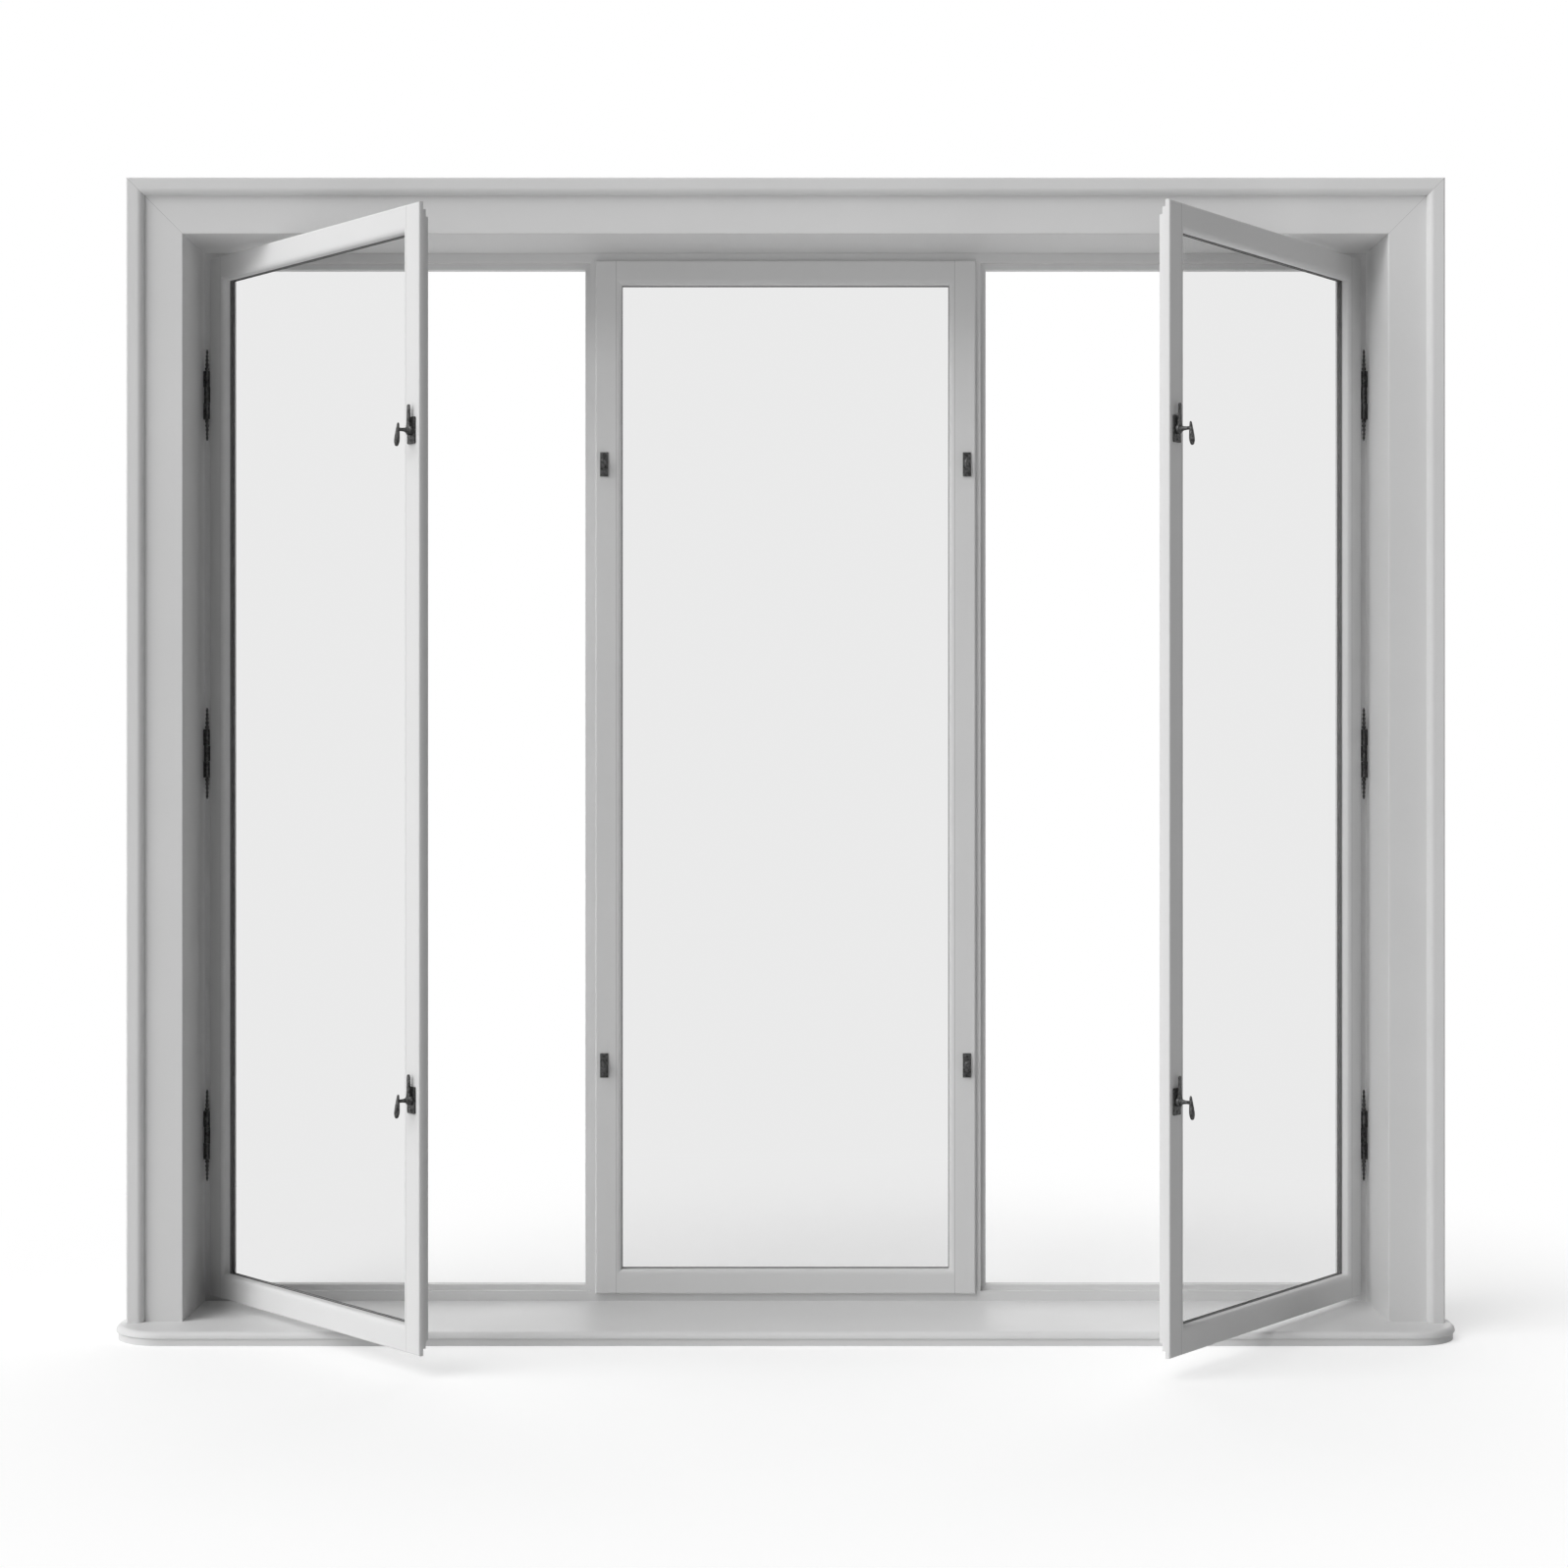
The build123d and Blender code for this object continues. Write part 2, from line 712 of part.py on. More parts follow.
# Keepers on the fixed light: a plate with a hook, open above and towards the casement
def keepers():
    """Keepers of the right casement."""
    tongue_front = plate_thickness + spindle_clearance + tongue_lift + tongue_thickness
    hook_back = running_gap + tongue_front + hook_clearance
    centre_x = sash_width / 2 - keeper_edge_distance
    with BuildPart() as hooks:
        for height in handle_heights:
            face = Plane(origin=(centre_x, fixed_face, height), x_dir=(1, 0, 0), z_dir=(0, -1, 0))
            wall_x = (hook_wall - hook_width) / 2
            with BuildSketch(face):
                plate = Rectangle(keeper_width, keeper_height)
                chamfer(plate.vertices(), plate_corner)
            extrude(amount=keeper_thickness)
            with BuildSketch(face.offset(keeper_thickness)):
                with Locations((wall_x, 0)):
                    Rectangle(hook_wall, hook_height / 2)
            extrude(amount=hook_back - keeper_thickness)
            with BuildSketch(face.offset(hook_back)):
                hook = Rectangle(hook_width, hook_height)
                chamfer(hook.vertices(), hook_corner)
            extrude(amount=hook_thickness)
    return hooks.part


right_keepers = keepers()
save(right_keepers, "right_keepers")
save(mirrored(right_keepers), "left_keepers")
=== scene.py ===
"""Three-light casement window: finishes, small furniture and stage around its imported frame."""

import json
import logging
import math
from dataclasses import dataclass
from enum import Enum
from typing import Any, Callable, Sequence

import bpy
from mathutils import Matrix, Vector

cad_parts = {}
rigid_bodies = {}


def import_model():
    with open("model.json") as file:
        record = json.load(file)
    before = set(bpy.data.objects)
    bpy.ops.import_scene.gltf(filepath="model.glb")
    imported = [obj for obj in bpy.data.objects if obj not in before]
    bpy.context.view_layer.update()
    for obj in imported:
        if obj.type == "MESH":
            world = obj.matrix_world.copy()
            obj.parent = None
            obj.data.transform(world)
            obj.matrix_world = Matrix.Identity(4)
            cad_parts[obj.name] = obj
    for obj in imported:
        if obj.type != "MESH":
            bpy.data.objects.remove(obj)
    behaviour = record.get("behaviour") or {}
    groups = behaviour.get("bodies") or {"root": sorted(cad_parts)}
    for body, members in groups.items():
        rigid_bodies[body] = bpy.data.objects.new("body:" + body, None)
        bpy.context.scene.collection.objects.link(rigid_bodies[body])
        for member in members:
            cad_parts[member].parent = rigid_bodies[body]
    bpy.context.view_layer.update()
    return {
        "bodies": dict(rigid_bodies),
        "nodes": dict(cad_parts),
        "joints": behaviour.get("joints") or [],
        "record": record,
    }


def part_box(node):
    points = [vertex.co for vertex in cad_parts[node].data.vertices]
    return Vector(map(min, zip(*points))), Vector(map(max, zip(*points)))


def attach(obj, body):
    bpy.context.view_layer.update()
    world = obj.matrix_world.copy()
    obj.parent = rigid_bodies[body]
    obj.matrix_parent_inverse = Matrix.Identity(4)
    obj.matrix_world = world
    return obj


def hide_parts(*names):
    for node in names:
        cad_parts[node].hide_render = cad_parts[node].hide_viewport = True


LOG = logging.getLogger("casement_window")
UP = Vector((0, 0, 1))
NOISE_LOW = 0.3
NOISE_HIGH = 0.7
MERGE_DISTANCE = 1e-6
ROUND_SEGMENTS = 3

Station = tuple[float, float]
Box = tuple[Vector, Vector]


class Slot(Enum):
    """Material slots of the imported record."""

    TRIM = "trim_white"
    BOARD = "board_white"
    FRAME = "frame_white"
    GLASS = "clear_glass"
    IRON = "black_iron"


class Side(Enum):
    """The two casements, by the side of the window that they hang on."""

    LEFT = "left"
    RIGHT = "right"

    @property
    def sign(self) -> int:
        """Minus one on the left, plus one on the right."""
        return -1 if self is Side.LEFT else 1


class NodeSheet:
    """Node tree of one material, laid out link by link."""

    def __init__(self, name: str) -> None:
        """Start an empty material.

        Args:
            name: Name of the material.
        """
        self.material = bpy.data.materials.new(name)
        self.material.use_nodes = True
        self.tree = self.material.node_tree
        self.tree.nodes.clear()
        self.output = self.add("ShaderNodeOutputMaterial")

    def add(self, kind: str, inputs: dict[str, Any] | None = None, **settings: Any) -> bpy.types.Node:
        """Add a node.

        Args:
            kind: Blender's type name of the node.
            inputs: Values or sockets for its inputs, by name.
            **settings: Attributes of the node itself.

        Returns:
            The new node.
        """
        node = self.tree.nodes.new(kind)
        for name, value in settings.items():
            setattr(node, name, value)
        for name, value in (inputs or {}).items():
            self.feed(node.inputs[name], value)
        return node

    def feed(self, socket: bpy.types.NodeSocket, value: Any) -> None:
        """Link a socket, or write a plain value into it."""
        if isinstance(value, bpy.types.NodeSocket):
            self.tree.links.new(value, socket)
        else:
            socket.default_value = value

    def math(self, operation: str, first: Any, second: Any = 0.0) -> bpy.types.NodeSocket:
        """Work out one sum.

        Args:
            operation: Name of the operation.
            first: Socket or number.
            second: Socket or number.

        Returns:
            The socket that holds the result.
        """
        node = self.tree.nodes.new("ShaderNodeMath")
        node.operation = operation
        self.feed(node.inputs[0], first)
        self.feed(node.inputs[1], second)
        return node.outputs[0]

    def noise(self, coords: bpy.types.NodeSocket, scale: float, detail: float) -> bpy.types.NodeSocket:
        """Soft noise over the surface, between 0 and 1.

        Args:
            coords: Coordinates to read.
            scale: Patches a metre.
            detail: Number of finer layers.

        Returns:
            The noise value.
        """
        node = self.add("ShaderNodeTexNoise", {"Vector": coords, "Scale": scale, "Detail": detail})
        return node.outputs["Fac"]

    def spread(self, value: bpy.types.NodeSocket, low: float, high: float) -> bpy.types.NodeSocket:
        """Stretch the middle of a noise between two numbers.

        Args:
            value: The noise.
            low: Result in the dark patches.
            high: Result in the bright patches.

        Returns:
            The stretched value.
        """
        inputs = {"Value": value, "To Min": low, "To Max": high}
        inputs |= {"From Min": NOISE_LOW, "From Max": NOISE_HIGH}
        return self.add("ShaderNodeMapRange", inputs).outputs["Result"]

    def greys(self, value: bpy.types.NodeSocket, low: float, high: float) -> bpy.types.NodeSocket:
        """Turn a noise into a grey between two tones.

        Args:
            value: The noise.
            low: Tone of the dark patches.
            high: Tone of the bright patches.

        Returns:
            The colour.
        """
        ramp = self.add("ShaderNodeValToRGB", {"Fac": value})
        ramp.color_ramp.elements[0].position = NOISE_LOW
        ramp.color_ramp.elements[0].color = (low, low, low, 1)
        ramp.color_ramp.elements[1].position = NOISE_HIGH
        ramp.color_ramp.elements[1].color = (high, high, high, 1)
        return ramp.outputs["Color"]

    def coordinates(self) -> bpy.types.NodeSocket:
        """Coordinates that stay on the piece when it moves."""
        return self.add("ShaderNodeTexCoord").outputs["Object"]

    def bump(self, height: bpy.types.NodeSocket, depth: float, strength: float) -> bpy.types.NodeSocket:
        """Fine relief.

        Args:
            height: Height between 0 and 1.
            depth: Depth of the relief in metres.
            strength: Share of it that shows.

        Returns:
            The bumped normal.
        """
        inputs = {"Height": height, "Distance": depth, "Strength": strength}
        return self.add("ShaderNodeBump", inputs).outputs["Normal"]

    def close(self, inputs: dict[str, Any]) -> bpy.types.Material:
        """End the sheet in one surface shader.

        Args:
            inputs: Values and sockets of the shader.

        Returns:
            The finished material.
        """
        shader = self.add("ShaderNodeBsdfPrincipled", inputs)
        self.feed(self.output.inputs["Surface"], shader.outputs["BSDF"])
        return self.material


@dataclass(frozen=True)
class MitreLines:
    """Hairlines where the head of the casing meets its legs, on planes at 45 degrees."""

    offset: float

    def distance(self, sheet: NodeSheet, coords: bpy.types.NodeSocket) -> bpy.types.NodeSocket:
        """Distance of a point from the nearer mitre, across X and Z.

        Args:
            sheet: Sheet to work on.
            coords: Place of the point.

        Returns:
            The distance.
        """
        parts = sheet.add("ShaderNodeSeparateXYZ", {"Vector": coords})
        across = sheet.math("ABSOLUTE", parts.outputs["X"])
        fall = sheet.math("SUBTRACT", across, parts.outputs["Z"])
        return sheet.math("ABSOLUTE", sheet.math("SUBTRACT", fall, self.offset))


@dataclass(frozen=True)
class ButtLines:
    """Hairlines where a sash's rails meet its stiles, upright at two places of the closed sash."""

    pivot: tuple[float, float]
    turn: float
    centre: float
    half_span: float

    def distance(self, sheet: NodeSheet, coords: bpy.types.NodeSocket) -> bpy.types.NodeSocket:
        """Distance of a point from the nearer joint, with the sash turned back to its closed place.

        Args:
            sheet: Sheet to work on.
            coords: Place of the point.

        Returns:
            The distance.
        """
        back = Matrix.Rotation(-self.turn, 3, "Z")
        pivot = Vector((*self.pivot, 0))
        mapping = sheet.add("ShaderNodeMapping", {"Vector": coords, "Rotation": (0, 0, -self.turn)})
        mapping.inputs["Location"].default_value = pivot - back @ pivot
        parts = sheet.add("ShaderNodeSeparateXYZ", {"Vector": mapping.outputs["Vector"]})
        across = sheet.math("ABSOLUTE", sheet.math("SUBTRACT", parts.outputs["X"], self.centre))
        return sheet.math("ABSOLUTE", sheet.math("SUBTRACT", across, self.half_span))


@dataclass(frozen=True)
class PaintFinish:
    """Sprayed satin paint: faint patches, a fine orange peel, and hairlines at the joints."""

    name: str
    tone: float = 0.74
    patch_depth: float = 0.035
    patch_scale: float = 5.0
    patch_detail: float = 4.0
    sheen_scale: float = 20.0
    sheen_detail: float = 3.0
    roughness: float = 0.48
    roughness_spread: float = 0.10
    gloss: float = 0.2
    peel_scale: float = 520.0
    peel_detail: float = 2.0
    peel_depth: float = 0.0004
    peel_strength: float = 0.10
    line_width: float = 0.0007
    line_tone: float = 0.45
    joints: MitreLines | ButtLines | None = None

    @classmethod
    def smooth(cls, name: str, joints: MitreLines | ButtLines | None = None) -> "PaintFinish":
        """The evener paint of the frame and the sashes.

        Args:
            name: Name of the material.
            joints: Hairlines where members meet, if they show.

        Returns:
            The finish.
        """
        return cls(name, patch_depth=0.025, peel_strength=0.06, joints=joints)

    def material(self) -> bpy.types.Material:
        """Mix the paint.

        Returns:
            The material.
        """
        sheet = NodeSheet(self.name)
        coords = sheet.coordinates()
        patches = sheet.noise(coords, self.patch_scale, self.patch_detail)
        colour = sheet.greys(patches, self.tone * (1 - self.patch_depth), self.tone)
        if self.joints is not None:
            inputs = {
                "Value": self.joints.distance(sheet, coords),
                "From Min": 0.0,
                "From Max": self.line_width,
                "To Min": 1.0,
                "To Max": 0.0,
            }
            line = sheet.add("ShaderNodeMapRange", inputs).outputs["Result"]
            mix = sheet.add("ShaderNodeMix", data_type="RGBA")
            sheet.feed(mix.inputs["Factor"], line)
            sheet.feed(mix.inputs[6], colour)
            sheet.feed(mix.inputs[7], (self.line_tone, self.line_tone, self.line_tone, 1))
            colour = mix.outputs[2]
        sheen = sheet.noise(coords, self.sheen_scale, self.sheen_detail)
        peel = sheet.noise(coords, self.peel_scale, self.peel_detail)
        return sheet.close(
            {
                "Base Color": colour,
                "Roughness": sheet.spread(sheen, self.roughness, self.roughness + self.roughness_spread),
                "Specular IOR Level": self.gloss,
                "Normal": sheet.bump(peel, self.peel_depth, self.peel_strength),
            }
        )


@dataclass(frozen=True)
class IronFinish:
    """Black wrought iron: dull black with rubbed patches and a hammered face."""

    name: str
    dark: float = 0.001
    rubbed: float = 0.100
    patch_scale: float = 260.0
    patch_detail: float = 5.0
    hammer_scale: float = 420.0
    hammer_detail: float = 2.0
    hammer_depth: float = 0.0012
    hammer_strength: float = 0.6
    metal: float = 0.5
    roughness: float = 0.30
    roughness_spread: float = 0.22

    def material(self) -> bpy.types.Material:
        """Black the iron.

        Returns:
            The material.
        """
        sheet = NodeSheet(self.name)
        coords = sheet.coordinates()
        patches = sheet.noise(coords, self.patch_scale, self.patch_detail)
        hammer = sheet.noise(coords, self.hammer_scale, self.hammer_detail)
        return sheet.close(
            {
                "Base Color": sheet.greys(patches, self.dark, self.rubbed),
                "Metallic": self.metal,
                "Roughness": sheet.spread(patches, self.roughness + self.roughness_spread, self.roughness),
                "Normal": sheet.bump(hammer, self.hammer_depth, self.hammer_strength),
            }
        )


@dataclass(frozen=True)
class GlassFinish:
    """Clear float glass with a faint haze in patches.

    It hardly bends light: a ray that bent at only one face of a pane would show a second, shifted picture.
    """

    name: str
    tint: float = 0.72
    body: float = 0.60
    bend: float = 1.003
    haze: float = 0.012
    haze_scale: float = 3.0
    haze_detail: float = 3.0

    def material(self) -> bpy.types.Material:
        """Pour the glass.

        Returns:
            The material.
        """
        sheet = NodeSheet(self.name)
        haze = sheet.noise(sheet.coordinates(), self.haze_scale, self.haze_detail)
        return sheet.close(
            {
                "Base Color": (self.tint, self.tint, self.tint, 1),
                "Roughness": sheet.spread(haze, 0.0, self.haze),
                "IOR": self.bend,
                "Alpha": self.body,
                "Transmission Weight": 1.0,
            }
        )


@dataclass(frozen=True)
class RubberFinish:
    """Moulded rubber strip with a dusty bloom."""

    name: str
    dark: float
    bloom: float
    scale: float = 90.0
    detail: float = 4.0
    smoothest: float = 0.6
    dullest: float = 0.8
    grain_depth: float = 0.0003
    grain_strength: float = 0.15

    def material(self) -> bpy.types.Material:
        """Mould the rubber.

        Returns:
            The material.
        """
        sheet = NodeSheet(self.name)
        bloom = sheet.noise(sheet.coordinates(), self.scale, self.detail)
        return sheet.close(
            {
                "Base Color": sheet.greys(bloom, self.dark, self.bloom),
                "Roughness": sheet.spread(bloom, self.smoothest, self.dullest),
                "Normal": sheet.bump(bloom, self.grain_depth, self.grain_strength),
            }
        )


class Bench:
    """Hand tools for mesh work, all of them Blender's own operators."""

    @staticmethod
    def clear() -> None:
        """Leave edit mode and let go of everything."""
        if bpy.context.object is not None and bpy.context.object.mode != "OBJECT":
            bpy.ops.object.mode_set(mode="OBJECT")
        bpy.ops.object.select_all(action="DESELECT")

    @staticmethod
    def hold(piece: bpy.types.Object) -> None:
        """Select one piece alone."""
        Bench.clear()
        piece.select_set(True)
        bpy.context.view_layer.objects.active = piece

    @staticmethod
    def name(piece: bpy.types.Object, name: str) -> bpy.types.Object:
        """Name a piece and its mesh."""
        piece.name = name
        piece.data.name = name
        return piece

    @staticmethod
    def edit(piece: bpy.types.Object, faces: Callable[[bpy.types.MeshPolygon], bool] | None = None) -> None:
        """Open a piece for editing with some of its faces selected.

        Args:
            piece: The piece.
            faces: Test of a face, or nothing to select the whole mesh.
        """
        Bench.hold(piece)
        bpy.ops.object.mode_set(mode="EDIT")
        bpy.ops.mesh.select_mode(type="FACE")
        bpy.ops.mesh.select_all(action="SELECT" if faces is None else "DESELECT")
        if faces is not None:
            bpy.ops.object.mode_set(mode="OBJECT")
            for face in piece.data.polygons:
                face.select = faces(face)
            bpy.ops.object.mode_set(mode="EDIT")

    @staticmethod
    def shut(piece: bpy.types.Object, smooth_angle: float = 40.0) -> bpy.types.Object:
        """Merge doubles, turn the faces outwards, leave edit mode and smooth the round surfaces.

        Args:
            piece: The piece that is open for editing.
            smooth_angle: Edges sharper than this many degrees stay crisp.

        Returns:
            The piece.
        """
        bpy.ops.mesh.select_all(action="SELECT")
        bpy.ops.mesh.remove_doubles(threshold=MERGE_DISTANCE)
        bpy.ops.mesh.normals_make_consistent(inside=False)
        bpy.ops.object.mode_set(mode="OBJECT")
        bpy.ops.object.shade_smooth_by_angle(angle=math.radians(smooth_angle))
        return piece

    @staticmethod
    def turn(name: str, stations: Sequence[Station], sides: int = 28) -> bpy.types.Object:
        """Turn a round piece along Z, as on a lathe.

        Args:
            name: Name of the piece.
            stations: Pairs of radius and height, from the bottom.
            sides: Flats round the piece.

        Returns:
            The closed piece.
        """
        Bench.clear()
        radius, height = stations[0]
        bpy.ops.mesh.primitive_circle_add(vertices=sides, radius=radius, fill_type="NGON")
        piece = Bench.name(bpy.context.object, name)
        Bench.edit(piece)
        bpy.ops.transform.translate(value=(0, 0, height))
        for next_radius, next_height in stations[1:]:
            bpy.ops.mesh.extrude_region_move(TRANSFORM_OT_translate={"value": (0, 0, next_height - height)})
            ratio = next_radius / radius
            bpy.ops.transform.resize(value=(ratio, ratio, 1), center_override=(0, 0, next_height))
            radius, height = next_radius, next_height
        return Bench.shut(piece)

    @staticmethod
    def block(name: str, low: Vector, high: Vector, edge: float) -> bpy.types.Object:
        """A block with rounded edges.

        Args:
            name: Name of the piece.
            low: Lowest corner.
            high: Highest corner.
            edge: Radius of the edges.

        Returns:
            The block.
        """
        Bench.clear()
        bpy.ops.mesh.primitive_cube_add(size=1)
        piece = Bench.name(bpy.context.object, name)
        Bench.edit(piece)
        bpy.ops.transform.resize(value=tuple(high - low), center_override=(0, 0, 0))
        bpy.ops.transform.translate(value=tuple((low + high) / 2))
        bpy.ops.mesh.bevel(offset=edge, segments=ROUND_SEGMENTS, affect="EDGES")
        return Bench.shut(piece)

    @staticmethod
    def ring(name: str, low: Vector, high: Vector, width: float) -> bpy.types.Object:
        """A flat rectangular ring in the XY plane, thickened along Z.

        Args:
            name: Name of the piece.
            low: Lowest outer corner.
            high: Highest outer corner.
            width: Width of the ring.

        Returns:
            The ring.
        """
        Bench.clear()
        size = high - low
        bpy.ops.mesh.primitive_plane_add(size=1)
        piece = Bench.name(bpy.context.object, name)
        Bench.edit(piece)
        bpy.ops.transform.resize(value=(size.x, size.y, 1), center_override=(0, 0, 0))
        bpy.ops.transform.translate(value=((low.x + high.x) / 2, (low.y + high.y) / 2, low.z))
        bpy.ops.mesh.inset(thickness=width)
        bpy.ops.mesh.delete(type="FACE")
        bpy.ops.mesh.select_all(action="SELECT")
        bpy.ops.mesh.extrude_region_move(TRANSFORM_OT_translate={"value": (0, 0, size.z)})
        return Bench.shut(piece)

    @staticmethod
    def place(piece: bpy.types.Object, matrix: Matrix) -> bpy.types.Object:
        """Move a piece and write its place into its mesh."""
        Bench.hold(piece)
        piece.matrix_world = matrix
        bpy.ops.object.transform_apply(location=True, rotation=True, scale=True)
        return piece

    @staticmethod
    def copy(piece: bpy.types.Object, name: str, matrix: Matrix) -> bpy.types.Object:
        """A copy of a piece with a mesh of its own, in another place."""
        Bench.hold(piece)
        bpy.ops.object.duplicate(linked=False)
        return Bench.place(Bench.name(bpy.context.object, name), matrix)

    @staticmethod
    def join(name: str, pieces: Sequence[bpy.types.Object]) -> bpy.types.Object:
        """Join pieces into one mesh.

        Args:
            name: Name of the joined piece.
            pieces: The pieces, which it takes in.

        Returns:
            The joined piece.
        """
        Bench.hold(pieces[0])
        for piece in pieces[1:]:
            piece.select_set(True)
        if len(pieces) > 1:
            bpy.ops.object.join()
        return Bench.name(bpy.context.object, name)

    @staticmethod
    def cut(piece: bpy.types.Object, cutter: bpy.types.Object) -> bpy.types.Object:
        """Cut one piece out of another and throw the cutter away.

        Args:
            piece: The piece to cut.
            cutter: The shape to take out of it.

        Returns:
            The cut piece.
        """
        Bench.hold(piece)
        bpy.ops.object.modifier_add(type="BOOLEAN")
        modifier = piece.modifiers[-1]
        modifier.operation = "DIFFERENCE"
        modifier.object = cutter
        bpy.ops.object.modifier_apply(modifier=modifier.name)
        Bench.discard(cutter)
        return piece

    @staticmethod
    def discard(piece: bpy.types.Object) -> None:
        """Throw a piece away."""
        Bench.hold(piece)
        bpy.ops.object.delete()

    @staticmethod
    def dress(
        piece: bpy.types.Object, material: bpy.types.Material, slot: Slot, body: str, *nodes: str
    ) -> bpy.types.Object:
        """Give a finished piece its material and the body that it rides on.

        Args:
            piece: The piece.
            material: Its finish.
            slot: Not used.
            body: Body that carries it.
            *nodes: Nodes that it stands for.

        Returns:
            The piece.
        """
        piece.data.materials.clear()
        piece.data.materials.append(material)
        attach(piece, body)
        if nodes:
            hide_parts(*nodes)
        LOG.info("%s on %s, %d faces", piece.name, body, len(piece.data.polygons))
        return piece


@dataclass
class Finishes:
    """All materials of the window, mixed once."""

    trim: bpy.types.Material
    lining: bpy.types.Material
    board: bpy.types.Material
    frame: bpy.types.Material
    glass: bpy.types.Material
    iron: bpy.types.Material
    # Dark glazing gasket rubber. Its dark tone also paints in the shadow line in the gap between bead and
    # pane.
    gasket: bpy.types.Material
    seal: bpy.types.Material

    @classmethod
    def mixed(cls, mitre: MitreLines) -> "Finishes":
        """Mix every finish.

        Args:
            mitre: Places of the casing's mitres.

        Returns:
            The finishes.
        """
        return cls(
            trim=PaintFinish("satin_trim_paint", joints=mitre).material(),
            lining=PaintFinish("satin_lining_paint").material(),
            board=PaintFinish("satin_board_paint", roughness=0.42).material(),
            frame=PaintFinish.smooth("smooth_frame_paint").material(),
            glass=GlassFinish("float_glass").material(),
            iron=IronFinish("wrought_black_iron").material(),
            # Gasket rubber: partly the real dark strip, partly painted shadow of the gap round each pane.
            gasket=RubberFinish("dark_glazing_rubber_and_gap_shade", 0.09, 0.14).material(),
            seal=RubberFinish("pale_seal_rubber", 0.42, 0.52).material(),
        )


@dataclass
class SashPlace:
    """Where a sash stands: the turn about its hinge line that takes it from closed to rest."""

    name: str
    body: str
    pivot: Vector
    turn: float

    @classmethod
    def casement(cls, frame: dict[str, Any], side: Side) -> "SashPlace":
        """Read a casement's place from its joint.

        Args:
            frame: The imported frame.
            side: Which casement.

        Returns:
            Its place.
        """
        body = f"{side.value}_casement"
        joint = next(joint for joint in frame["joints"] if joint["child"] == body)
        turn = -math.radians(joint["range_deg"][0]) * joint["axis"][2]
        return cls(side.value, body, Vector(joint["pos_m"]), turn)

    def matrix(self) -> Matrix:
        """Turn from closed to rest."""
        there = Matrix.Translation(self.pivot)
        return there @ Matrix.Rotation(self.turn, 4, "Z") @ there.inverted()

    def closed_box(self, frame: dict[str, Any], node: str) -> Box:
        """Box of a node with the sash turned back to its closed place.

        Args:
            frame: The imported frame.
            node: Name of the node.

        Returns:
            Lowest and highest corner.
        """
        back = self.matrix().inverted()
        points = [back @ vertex.co for vertex in frame["nodes"][node].data.vertices]
        low = Vector(min(point[axis] for point in points) for axis in range(3))
        high = Vector(max(point[axis] for point in points) for axis in range(3))
        return low, high

    def elevation(self, depth: float) -> Matrix:
        """Matrix from a drawing of the closed sash, seen from the room, to its place at rest.

        Args:
            depth: Y of the drawing's plane with the sash closed.

        Returns:
            The matrix: drawing X along the sash, drawing Y up, drawing Z into the room.
        """
        drawing = Matrix(((1, 0, 0, 0), (0, 0, -1, depth), (0, 1, 0, 0), (0, 0, 0, 1)))
        return self.matrix() @ drawing


@dataclass
class Trim:
    """Casing, back bands, linings and window board, which keep their solids."""

    finishes: Finishes
    cased: tuple[str, ...] = ("casing", "backband")
    places: tuple[str, ...] = ("left", "right", "head")
    linings: tuple[str, ...] = ("jamb_lining_left", "jamb_lining_right", "head_lining")

    def dress(self, frame: dict[str, Any]) -> None:
        """Paint the nodes.

        Args:
            frame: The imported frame.
        """
        nodes = frame["nodes"]
        for piece in self.cased:
            for place in self.places:
                paint(nodes[f"{piece}_{place}"], self.finishes.trim)
        for lining in self.linings:
            paint(nodes[lining], self.finishes.lining)
        paint(nodes["window_board"], self.finishes.board)


@dataclass
class OuterFrame:
    """Perimeter frame and mullions."""

    finishes: Finishes
    members: tuple[str, ...] = (
        "frame_jamb_left",
        "frame_jamb_right",
        "frame_head",
        "frame_bottom_rail",
        "mullion_left",
        "mullion_right",
    )

    def dress(self, frame: dict[str, Any]) -> None:
        """Paint the nodes.

        Args:
            frame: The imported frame.
        """
        for member in self.members:
            paint(frame["nodes"][member], self.finishes.frame)


